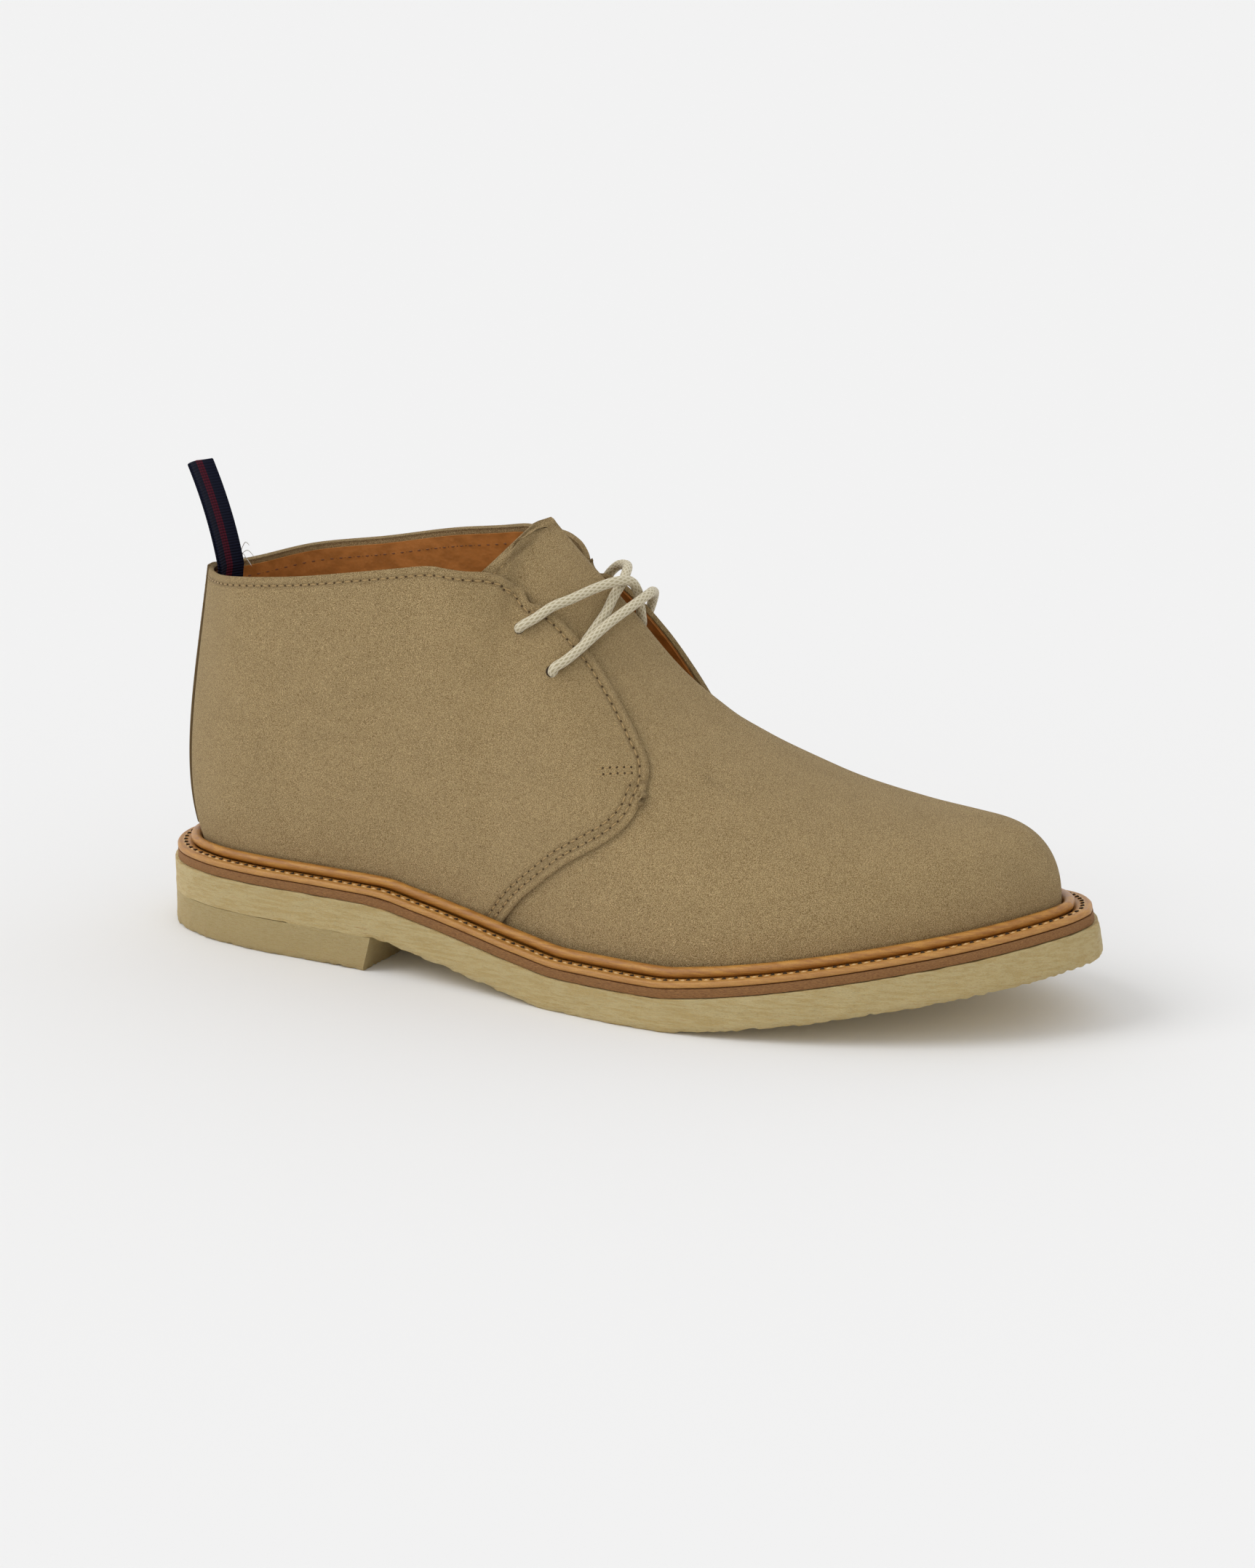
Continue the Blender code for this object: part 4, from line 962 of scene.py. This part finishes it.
def build_vamp():
    """Vamp and tongue in one: a grain side and a flesh side, closed round every edge."""
    columns, rows = VAMP_GRID
    pieces = []
    grains, fleshes = (vamp_halves(depth, columns, rows) for depth in (0.0, TONGUE))
    for side, grain, flesh in zip(SIDES, grains, fleshes):
        s, t, knot = vamp_places(side, columns, rows)
        tongue = np.r_[grain[0, rows // 2:], grain[:knot + 1, -1]]
        gap = nearest(grain, even(tongue, FINE))
        # painted shade: darker in the hem's stitched furrow and along the tongue's cut edge
        near = np.maximum(0.7 * furrow(gap, HEM_ROWS), 0.3 * (1 - ramp(gap, 0.0002, 0.0012)))
        uv = cloth_uv(s, t)
        layers = ((grain, flesh), (uv, uv), (near, near))
        round_the_edge = [np.concatenate([over[::-1], under]) for over, under in layers]
        foot = [np.stack([over[:, 0], under[:, 0]], 1) for over, under in layers]
        head = [np.stack([over[:knot + 1, -1], under[:knot + 1, -1]], 1)
                for over, under in layers]
        for points, places, marks in (round_the_edge, foot, head):
            pieces.append(cloth(points, places, {"furrow_and_edge_shade": marks}))
    vamp = join(pieces)
    weld(vamp)
    return finish_piece(vamp, "vamp_and_tongue", SAND)


def build_back_strip():
    """Strip over the back seam, from the welt's bead to the collar."""
    width = np.linspace(-0.5, 0.5, 21) * STAY_WIDTH
    up = np.linspace(STAY_FOOT, 0.9985, 70)
    s = np.abs(width)[:, None] / side_length(SIDES[0]) * np.ones_like(up)
    t = np.ones_like(width)[:, None] * up
    outer, inner = (side.at(s, t, np.full(s.shape, STAY_STEP)) for side in SIDES)
    points = np.where((width < 0)[:, None, None], outer, inner)
    # painted shade: darker along both edges of the strip, where it stands proud of the quarters
    edge_shade_mark = ramp(np.abs(width)[:, None] / STAY_WIDTH, 0.46, 0.5) * np.ones_like(up)
    strip = cloth(points, cloth_uv(s, t), {"furrow_and_edge_shade": edge_shade_mark})
    face_out(strip)
    thicken(strip, STRIP, 0.0004)
    return finish_piece(strip, "back_strip", SAND)


# Stitches

def thread_loop(radius, length):
    """One stitch along X, as a straight round thread."""
    clear_selection()
    bpy.ops.mesh.primitive_cylinder_add(vertices=6, radius=radius, depth=length,
                                        end_fill_type="TRIFAN", rotation=(0, math.pi / 2, 0))
    obj = bpy.context.object
    bpy.ops.object.transform_apply(location=True, rotation=True, scale=True)
    edit_all(obj, (bpy.ops.mesh.subdivide, {"number_cuts": 1}))
    return obj


def shape_of(obj):
    points = np.array([v.co[:] for v in obj.data.vertices])
    faces = [tuple(f.vertices) for f in obj.data.polygons]
    mesh = obj.data
    bpy.data.objects.remove(obj)
    bpy.data.meshes.remove(mesh)
    return points, faces


def stitch_shape(radius, length):
    points, faces = shape_of(thread_loop(radius, length))
    x = points[:, 0] / (0.5 * length)
    points[:, 2] -= 1.5 * radius * x ** 4
    points[:, 1:] *= (1 - 0.35 * x[:, None] ** 4)
    return points, faces


def hole_shape(radius, segments=6, flat=0.4):
    clear_selection()
    bpy.ops.mesh.primitive_uv_sphere_add(segments=segments, ring_count=4, radius=radius)
    points, faces = shape_of(bpy.context.object)
    points[:, 2] *= flat
    return points, faces


def scatter(name, shape, frames, material):
    """One piece made of many copies of a small shape, each in its own frame."""
    points, faces = shape
    verts, polygons = [], []
    for origin, x, y, z in frames:
        start = len(verts)
        verts.extend(origin + points[:, :1] * x + points[:, 1:2] * y + points[:, 2:] * z)
        polygons.extend(tuple(start + i for i in face) for face in faces)
    piece = raw_piece(name, np.array(verts) + SHIFT, polygons)
    return finish_piece(piece, name, material, 60)


def row_frames(points, normals, pitch, start=0.5):
    """Frames at equal steps along a row: origin, along, across and out."""
    arc = np.r_[0, np.cumsum(np.linalg.norm(np.diff(points, axis=0), axis=1))]
    at = np.arange(pitch * start, arc[-1] - 0.2 * pitch, pitch)
    frames = []
    for a in at:
        p, q = (np.array([np.interp(a + d, arc, points[:, k]) for k in range(3)])
                for d in (-0.3 * pitch, 0.3 * pitch))
        n = np.array([np.interp(a, arc, normals[:, k]) for k in range(3)])
        x = (q - p) / np.linalg.norm(q - p)
        n = n - x * (n @ x)
        n /= np.linalg.norm(n)
        frames.append((0.5 * (p + q), x, np.cross(n, x), n))
    return frames


def panel_row(side, places, inset, rise_by, out_of):
    """Row of points that runs beside a panel's edge, `inset` into the panel."""
    s, t = places[:, 0], places[:, 1]
    p = side.base(s, t)
    n = side.normal(s, t)
    run = np.gradient(p, axis=0)
    run /= np.linalg.norm(run, axis=1)[:, None]
    across = np.cross(n, run)
    # steps of the surface for a small change of (along, up)
    d = 0.002
    ps = (side.base(s + d, t) - p) / d
    pt = (side.base(s, t - d) - p) / -d
    moved = []
    for k in range(len(s)):
        step, *_ = np.linalg.lstsq(np.c_[ps[k], pt[k]], across[k] * inset, rcond=None)
        moved.append((s[k] + step[0], t[k] + step[1]))
    moved = np.clip(np.array(moved), 0, 1)
    # leave out what has come back too near the edge at a turn
    gap = nearest(side.base(moved[:, 0], moved[:, 1])[:, None], even(p, FINE))[:, 0]
    moved = moved[np.abs(gap / abs(inset) - 1) < 0.2]
    out = out_of(moved[:, 0], moved[:, 1]) + rise_by
    return side.at(moved[:, 0], moved[:, 1], out), side.normal(moved[:, 0], moved[:, 1])


def sew(name, rows, pitch, thread, radius=THREAD):
    """Stitches along several rows, and dark discs that paint the shade in their needle holes."""
    stitches, holes = [], []
    for points, normals, start in rows:
        frames = row_frames(points, normals, pitch, start)
        stitches += frames
        holes += [(o + x * 0.5 * pitch - z * 0.0001, x, y, z) for o, x, y, z in frames]
    scatter(name, stitch_shape(radius, 0.74 * pitch), stitches, thread)
    return scatter(name + "_holes", hole_shape(1.6 * radius), holes, PRICK_SHADE)


def build_seams():
    rows, lining_rows, bars = [], [], []
    for side in SIDES:
        flip = -1 if side.side == OUTER else 1
        sink = 0.1 * THREAD

        def quarter_out(s, t, side=side):
            return lift_of(side, s, t) - settle(side, s, t)

        seam = edge(SEAM, np.linspace(0.03, 1, 120))
        facing = edge(list(FACING), np.linspace(0, 1, 240))[1:]
        collar = np.c_[np.linspace(FACING[-1][0], 0.012, 120), np.ones(120)][1:]
        far = edge(list(FACING), np.linspace(0, 0.30, 60))[1:]
        for inset, line, start in ((EDGE_ROWS[0], np.r_[seam, facing, collar], 0.5),
                                   (EDGE_ROWS[1], np.r_[seam, far], 0.0)):
            rows.append((*panel_row(side, line, -flip * inset, sink - 0.0002, quarter_out), start))
        inside = np.c_[np.linspace(0.04, 0.335, 120), np.full(120, 1 - LINING_ROW / COLLAR_HEIGHT)]
        depth = SUEDE + LINING - settle(side, *inside.T)
        lining_rows.append((side.at(*inside.T, lift_of(side, *inside.T) - depth),
                            -side.normal(*inside.T), 0.5))
        hem = [p for p in TONGUE_EDGE if p[1] > 0.74]
        hem = between(np.linspace(0, 1, len(hem)), hem, np.linspace(0, 0.84, 90), flowing=True)
        rows.append((*panel_row(side, hem, flip * HEM_ROWS[0], sink - 0.0001,
                                lambda s, t: -dip_of(s, t)), 0.5))
        for shift in (-0.0009, 0.0009):
            ends = np.array(BAR_TACK)
            bar = np.stack([np.linspace(*ends[:, k], 14) for k in (0, 1)], 1)
            bars.append((*panel_row(side, bar, shift, sink, quarter_out), 0.5))
        strip_s = (0.5 * STAY_WIDTH - 0.0018) / side_length(side)
        back = np.c_[np.full(60, strip_s), np.linspace(STAY_FOOT + 0.01, 0.985, 60)]
        rows.append((side.at(back[:, 0], back[:, 1], np.full(60, STAY_STEP + sink)),
                     side.normal(back[:, 0], back[:, 1]), 0.4))
    sew("seam_stitches", rows, PITCH, SAND_THREAD)
    sew("lining_stitches", lining_rows, PITCH, TAN_THREAD)
    sew("bar_tacks", bars, 0.0021, SAND_THREAD)


def build_eyelets():
    """Punched eyelets: dark discs paint the shade inside each hole, round the lace."""
    frames = []
    for side in SIDES:
        for s, t in (EYELETS if side.side == INNER else OUTER_EYELETS):
            s, t = np.array([s, s + 0.004]), np.array([t, t])
            here, next_ = side.at(s, t, lift_of(side, s, t) + 0.00015)
            out = side.normal(s, t)[0]
            along = (next_ - here) / np.linalg.norm(next_ - here)
            frames.append((here, along, np.cross(out, along), out))
    scatter("eyelet_hole_shade", hole_shape(0.5 * LACE + 0.0003, 16, 0.16), frames, HOLE_SHADE)


# Welt, midsole and crepe

def ring_faces(n, bands, k):
    """Faces of a stack of k loops of n points each, between as many bands as asked."""
    return [(a * n + i, a * n + (i + 1) % n, (a + 1) % k * n + (i + 1) % n, (a + 1) % k * n + i)
            for a in range(bands) for i in range(n)]


def lid_faces(n, k):
    """Strips across the first and the last of k loops of n points each."""
    faces = []
    for base, flip in ((0, True), ((k - 1) * n, False)):
        for i in range(n // 2):
            strip = [base + i, base + i + 1, base + (n - i - 1) % n, base + (n - i) % n]
            strip = list(dict.fromkeys(strip))
            faces.append(tuple(strip[::-1] if flip else strip))
    return faces


def ring_piece(loops):
    """Closed band over loops that all have the same count of points."""
    n, k = len(loops[0]), len(loops)
    obj = raw_piece("ring", np.concatenate(loops) + SHIFT, ring_faces(n, k, k))
    weld(obj, 0.00001)
    return obj


def build_welt():
    foot = MIDSOLE_TOP
    bead_out = WELT_REACH - GAP - BEAD_WIDTH
    flange = [(WELT_INSET + 0.0003, 0), (WELT_INSET, 0.0003), (WELT_INSET, FLANGE * 0.62),
              (WELT_INSET + 0.0004, FLANGE * 0.93), (WELT_INSET + 0.0009, FLANGE),
              (WELT_INSET + 0.0013, FLANGE - 0.00018), (WELT_INSET + 0.0017, FLANGE),
              (bead_out - 0.0012, FLANGE), (bead_out - 0.0004, FLANGE - 0.0004),
              (bead_out + 0.0003, FLANGE - 0.0007)]
    loops = [lifted(plan_loop(inset, WELT_COUNT), foot + up) for inset, up in flange]
    loops.append(lifted(plan_loop(bead_out + 0.0006, WELT_COUNT), foot))
    flat = ring_piece(loops)
    finish_piece(flat, "welt_flange", FLAT, 60)
    bead = []
    for turn in np.linspace(-0.42 * math.pi, 1.02 * math.pi, 13):
        up = FLANGE - 0.0004 + BEAD_RISE * (0.5 + 0.5 * math.sin(turn - 0.04 * math.pi))
        out = BEAD_WIDTH * (0.48 + 0.48 * math.cos(turn))
        bead.append(upper_ring(foot + max(up, 0.0002), WELT_COUNT, out))
    bead.append(upper_ring(foot + 0.0003, WELT_COUNT, 0.0))
    bead.append(upper_ring(foot + 0.0003, WELT_COUNT, 0.55 * BEAD_WIDTH))
    roll = ring_piece(bead)
    finish_piece(roll, "welt_bead", BEAD, 60)
    # lock stitches down the middle of the flange, with dark discs that paint the shade in their
    # slanted holes
    inset = WELT_INSET + 0.0022
    row = lifted(plan_loop(inset, 400), foot + FLANGE)
    slope = rise_slope(row[:, 0])
    normal = np.c_[-slope, np.zeros(len(row)), np.ones(len(row))]
    normal /= np.linalg.norm(normal, axis=1)[:, None]
    frames = row_frames(np.r_[row, row[:1]], np.r_[normal, normal[:1]], WELT_PITCH)
    scatter("welt_stitches", stitch_shape(0.00034, 0.62 * WELT_PITCH), frames, CREAM_THREAD)
    holes = [(o + x * 0.5 * WELT_PITCH + y * 0.0003 + z * 0.0001, x, y, z)
             for o, x, y, z in frames]
    scatter("welt_hole_shade", hole_shape(0.00085, 3), holes, HOLE_SHADE)
    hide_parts("welt")
    return roll


def build_crepe():
    tuck = SOLE_EDGE
    ups = np.r_[0.0, 0.0004, 0.0010, 0.0018, 0.0028, 0.0040, 0.0052, 0.0064, 0.0076, 0.0088,
                SHEET - 0.0003, SHEET]
    loops, low = [], []
    for up in ups:
        line = plan_loop(0.0, CREPE_COUNT)
        rounded = plan_loop(tuck * (1 - ramp(up, -0.0004, 1.3 * tuck)), CREPE_COUNT)
        # over the heel lift the sheet keeps a square edge, so that the two look like one
        free = ramp(line[:, 0], BREAST_AT - 0.003, BREAST_AT + 0.003)[:, None]
        loops.append(lifted(line + (rounded - line) * free, up))
        low.append((1 - up / SHEET) * free[:, 0])
    sheet = marked_ring(loops, low)
    finish_piece(sheet, "crepe_sheet", CREPE, 60)
    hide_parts("outsole")

    top = LIFT - 0.00004
    loops, low = [], []
    for up in np.r_[0.0, 0.0004, 0.0010, 0.0018, 0.0030, 0.0045, 0.0060, 0.0075, 0.0090, 0.0100,
                    top]:
        inset = tuck * (1 - ramp(up, -0.0004, 1.3 * tuck))
        front = BREAST_AT - BREAST_RAKE * (1 - up / top)
        halves = []
        for side in (OUTER, INNER):
            line = half_outline(side, inset)
            keep = line[line[:, 0] < front]
            y = np.interp(front, line[:, 0], line[:, 1])
            halves.append(even(np.r_[keep, [(front, y)]], 120))
        across = np.linspace(halves[0][-1], halves[1][-1], 60)[1:-1]
        loop = np.r_[halves[0], across, halves[1][:0:-1]]
        loops.append(np.c_[loop, np.full(len(loop), up)])
        low.append(np.full(len(loop), 1 - up / top))
    lift = marked_ring(loops, low, fan=True)
    finish_piece(lift, "crepe_heel", CREPE, 60)
    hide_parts("heel")


def marked_ring(loops, low, fan=False):
    """Crepe plate over its loops, with a mark for how far down a point lies and rough sides."""
    n, k = len(loops[0]), len(loops)
    near_edge = np.concatenate(low)
    spots = np.concatenate(loops)
    down = (rise(spots[:, 0]) + SHEET - spots[:, 2]) / (LIFT + SHEET)
    if fan:
        lids = [tuple(range(n))[::-1], tuple(range((k - 1) * n, k * n))]
    else:
        lids = lid_faces(n, k)
    obj = raw_piece("crepe", spots + SHIFT, ring_faces(n, k - 1, k) + lids)
    mesh = obj.data
    mark = mesh.attributes.new("down", "FLOAT", "POINT")
    mark.data.foreach_set("value", np.array(down, np.float32))
    edit_all(obj, FACE_OUTWARD)
    # rough sides: nibs at the lower edge, gentle waves above
    co = np.array([v.co[:] for v in mesh.vertices])
    normals = np.array([v.normal[:] for v in mesh.vertices])
    for i, low_share in enumerate(near_edge):
        p = Vector(co[i])
        wave = noise.fractal(p * 150, 0.8, 2.0, 3)
        nibs = noise.noise(p * 560)
        co[i] += normals[i] * (0.00026 * wave + 0.00060 * nibs * low_share ** 2)
    co[:, 2] = np.maximum(co[:, 2], 0.0)
    mesh.vertices.foreach_set("co", co.astype(np.float32).ravel())
    mesh.update()
    return obj


# Lace

def lace_route():
    """One lace: out of the upper outer eyelet, under the inner flap, up through the lower inner
    eyelet, across, down the lower outer eyelet, over the tongue and in at the upper inner one."""
    r = 0.5 * LACE
    lift = FLAP_LIFT
    rows = [
        (-1, 0.414, 0.618, -0.0060), (-1, 0.421, 0.627, -0.0030), (-1, 0.425, 0.635, 0.0004),
        (-1, 0.432, 0.652, r + 0.0004), (-1, 0.443, 0.684, r + 0.0002),
        (-1, 0.458, 0.749, r + 0.0001), (-1, 0.471, 0.812, r), (-1, 0.481, 0.890, 0.0018),
        (-1, 0.488, 0.955, 0.0030), (1, 0.493, 0.985, 0.0030), (1, 0.499, 0.930, 0.0018),
        (1, 0.502, 0.870, -0.0002), (1, 0.502, 0.800, -0.0012), (1, 0.496, 0.720, -0.0008),
        (1, 0.483, 0.640, 0.0000), (1, 0.476, 0.612, 0.0022), (1, 0.473, 0.605, 0.0046),
        (1, 0.476, 0.618, lift + r + 0.0004), (1, 0.482, 0.660, lift + r + 0.0004),
        (1, 0.489, 0.720, lift + r + 0.0003), (1, 0.497, 0.810, 0.0060),
        (1, 0.503, 0.890, 0.0050), (1, 0.507, 0.960, 0.0044), (-1, 0.508, 0.940, 0.0030),
        (-1, 0.505, 0.850, 0.0022), (-1, 0.500, 0.772, r + 0.0006), (-1, 0.493, 0.706, r + 0.0003),
        (-1, 0.484, 0.650, r + 0.0003), (-1, 0.477, 0.620, r + 0.0002), (-1, 0.474, 0.606, -0.0002),
        (-1, 0.474, 0.598, -0.0030), (-1, 0.480, 0.620, -0.0050), (-1, 0.488, 0.680, -0.0044),
        (-1, 0.495, 0.750, -0.0020), (-1, 0.498, 0.822, -0.0013), (-1, 0.498, 0.888, -0.0012),
        (-1, 0.494, 0.960, -0.0010), (1, 0.489, 0.968, 0.0006), (1, 0.482, 0.910, 0.0030),
        (1, 0.470, 0.835, 0.0052), (1, 0.453, 0.760, lift + r + 0.0004),
        (1, 0.440, 0.700, lift + r + 0.0004), (1, 0.430, 0.646, lift + r + 0.0004),
        (1, 0.425, 0.625, 0.0044), (1, 0.422, 0.615, 0.0014), (1, 0.414, 0.606, -0.0028),
    ]
    points = np.array([SIDES[0 if side == OUTER else 1].at(s, t, out) for side, s, t, out in rows])
    chord = np.r_[0, np.cumsum(np.linalg.norm(np.diff(points, axis=0), axis=1))]
    return between(chord, points, np.linspace(0, chord[-1], 460), flowing=True)


def tube(path, radius, sides):
    """Round cord as a grid rolled round a path; returns points and UV."""
    run = np.gradient(path, axis=0)
    run /= np.linalg.norm(run, axis=1)[:, None]
    across = np.zeros_like(run)
    side = np.cross(run[0], (0, 0, 1.0))
    for k, direction in enumerate(run):
        side = side - direction * (side @ direction)
        side /= np.linalg.norm(side)
        across[k] = side
    other = np.cross(run, across)
    turn = np.linspace(0, 2 * math.pi, sides + 1)
    ring = (np.cos(turn)[None, :, None] * across[:, None] + np.sin(turn)[None, :, None]
            * other[:, None])
    arc = np.r_[0, np.cumsum(np.linalg.norm(np.diff(path, axis=0), axis=1))]
    uv = np.stack([np.broadcast_to(arc[:, None] / 0.0030, (len(path), sides + 1)),
                   np.broadcast_to(turn[None] / (2 * math.pi) * 2, (len(path), sides + 1))], -1)
    return path[:, None] + radius * ring, uv, arc[-1]


def build_lace():
    path = lace_route()
    points, uv, length = tube(path, 0.5 * LACE, 16)
    # rounded ends: the first and last rings close to a point
    points[0] = points[0].mean(axis=0)
    points[-1] = points[-1].mean(axis=0)
    lace = cloth(points, uv)
    weld(lace, 0.00001)
    finish_piece(lace, "laced_cord", COTTON, 80)
    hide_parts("lace")
    path[0] + SHIFT
    [list(p) for p in path + SHIFT]
    print("lace", round(float(length) * 1000, 1), "mm")


# Ribbon and loose threads

def build_ribbon():
    inside = WALL + 5 * GAP + RIBBON_THICK + 0.5 * RIBBON_CLOSED
    rise_to = RIBBON_RISE - 0.5 * (RIBBON_FOLD + 2 * RIBBON_THICK)
    height = np.r_[np.linspace(-RIBBON_TUCK, 0, 8)[:-1], np.linspace(0, rise_to, 30)]
    share = np.clip(height / RIBBON_RISE, 0, 1)
    lean = RIBBON_LEAN * share * (RIBBON_START + (1 - RIBBON_START) * share)
    slope = np.where(height < 0, 0, np.gradient(lean, height))
    open_ = RIBBON_CLOSED + (RIBBON_FOLD - RIBBON_CLOSED) * ramp(height, 0, rise_to)
    half = 0.5 * (RIBBON_THICK + open_)
    level = 1 / np.sqrt(1 + slope * slope)
    s = np.linspace(0, 0.08, 33)
    reach = np.abs(SIDES[0].base(s, 1.0)[:, 1])
    grid = []
    for y in np.linspace(-0.5, 0.5, 17) * RIBBON_WIDTH:
        side = SIDES[0 if y < 0 else 1]
        at = float(np.interp(abs(y), reach, s))
        line = side.at(at, 1 + np.minimum(height, 0) / COLLAR_HEIGHT,
                       np.full(len(height), -inside))
        middle = np.c_[line[:, 0] - lean, line[-1, 2] + height]
        across = np.c_[level, level * slope] * half[:, None]
        turn = np.linspace(0, math.pi, 12)[1:-1, None]
        along = np.array([-across[-1, 1], across[-1, 0]])
        fold = middle[-1] - np.cos(turn) * across[-1] + np.sin(turn) * along
        path = np.r_[middle - across, fold, (middle + across)[::-1]]
        grid.append(np.c_[path[:, 0], np.full(len(path), y), path[:, 1]])
    grid = np.array(grid)
    arc = np.r_[0, np.cumsum(np.linalg.norm(np.diff(grid[8], axis=0), axis=1))]
    uv = np.stack([np.broadcast_to(np.linspace(0, 1, 17)[:, None], grid.shape[:2]),
                   np.broadcast_to(arc[None] / 0.0009, grid.shape[:2])], -1)
    ribbon = cloth(grid, uv)
    add_and_apply(ribbon, "SOLIDIFY", thickness=RIBBON_THICK, offset=0)
    finish_piece(ribbon, "ribbon_loop", RIBBON)
    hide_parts("pull_loop")


def build_loose_threads():
    """A few frayed ends at the inner foot of the ribbon, lying over the lining."""
    threads = []
    for rise_by, reach, droop in ((0.0015, 0.0052, 0.0030), (0.0036, 0.0060, 0.0012),
                                  (0.0052, 0.0044, -0.0012), (0.0024, 0.0034, 0.0016)):
        share = np.linspace(0, 1, 14)
        foot = SIDES[1].at(0.0, 1.0, 0.0) + (0.0040, 0.5 * RIBBON_WIDTH - 0.0006, 0.0)
        path = foot + np.stack([reach * share, 0.0012 * share + 0.0006 * np.sin(5 * share),
                                rise_by * np.sin(2.4 * share) - droop * share ** 2], -1)
        points, uv, _ = tube(path, 0.00011, 6)
        points[0], points[-1] = points[0].mean(axis=0), points[-1].mean(axis=0)
        thread = cloth(points, uv)
        weld(thread, 0.000005)
        threads.append(thread)
    finish_piece(join(threads), "loose_threads", FRAY, 80)


# Build

quarters = build_quarters()
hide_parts("upper")
build_lining()
build_vamp()
build_back_strip()
build_seams()
build_eyelets()
build_welt()
build_crepe()
build_lace()
build_ribbon()
build_loose_threads()
for node, finish in (("midsole", RAW), ("insole", TAN)):
    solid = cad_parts[node]
    solid.data.materials.clear()
    solid.data.materials.append(finish)


# Floor, light and camera

def stage_and_camera():
    clear_selection()
    bpy.ops.mesh.primitive_plane_add(size=80, location=(0, 0, 0))
    floor = bpy.context.object
    floor.name = "floor"
    floor.data.materials.append(Finish("pale_floor", (0.86, 0.86, 0.86), 1.0).material)
    scene = bpy.context.scene
    scene.view_settings.view_transform = "Standard"
    world = bpy.data.worlds.new("studio")
    scene.world = world
    world.use_nodes = True
    sky = world.node_tree.nodes["Background"]
    sky.inputs["Color"].default_value = (1, 1, 1, 1)
    sky.inputs["Strength"].default_value = 0.82
    # broad soft light from the upper left, in front
    light = bpy.data.lights.new("key", "SUN")
    light.energy = 0.95
    light.angle = math.radians(LAMP_SPREAD)
    lamp = bpy.data.objects.new("key", light)
    scene.collection.objects.link(lamp)
    lamp.rotation_euler = Vector(LAMP_TOWARDS).to_track_quat("-Z", "Y").to_euler()
    azimuth, elevation = math.radians(CAMERA_AZIMUTH), math.radians(CAMERA_ELEVATION)
    target = Vector(CAMERA_TARGET) + Vector(SHIFT)
    back = Vector((math.sin(azimuth) * math.cos(elevation),
                   -math.cos(azimuth) * math.cos(elevation), math.sin(elevation)))
    camera_data = bpy.data.cameras.new("camera")
    camera_data.sensor_fit = "VERTICAL"
    camera_data.sensor_height = 36
    camera_data.sensor_width = 36
    camera_data.lens = CAMERA_LENS
    camera_data.clip_start = 0.01
    camera = bpy.data.objects.new("camera", camera_data)
    scene.collection.objects.link(camera)
    right = Vector((math.cos(azimuth), math.sin(azimuth), 0))
    up = back.cross(right)
    turn = Matrix((right, up, back)).transposed()
    camera.matrix_world = Matrix.Translation(target + back * CAMERA_DISTANCE) @ turn.to_4x4()
    scene.camera = camera


stage_and_camera()
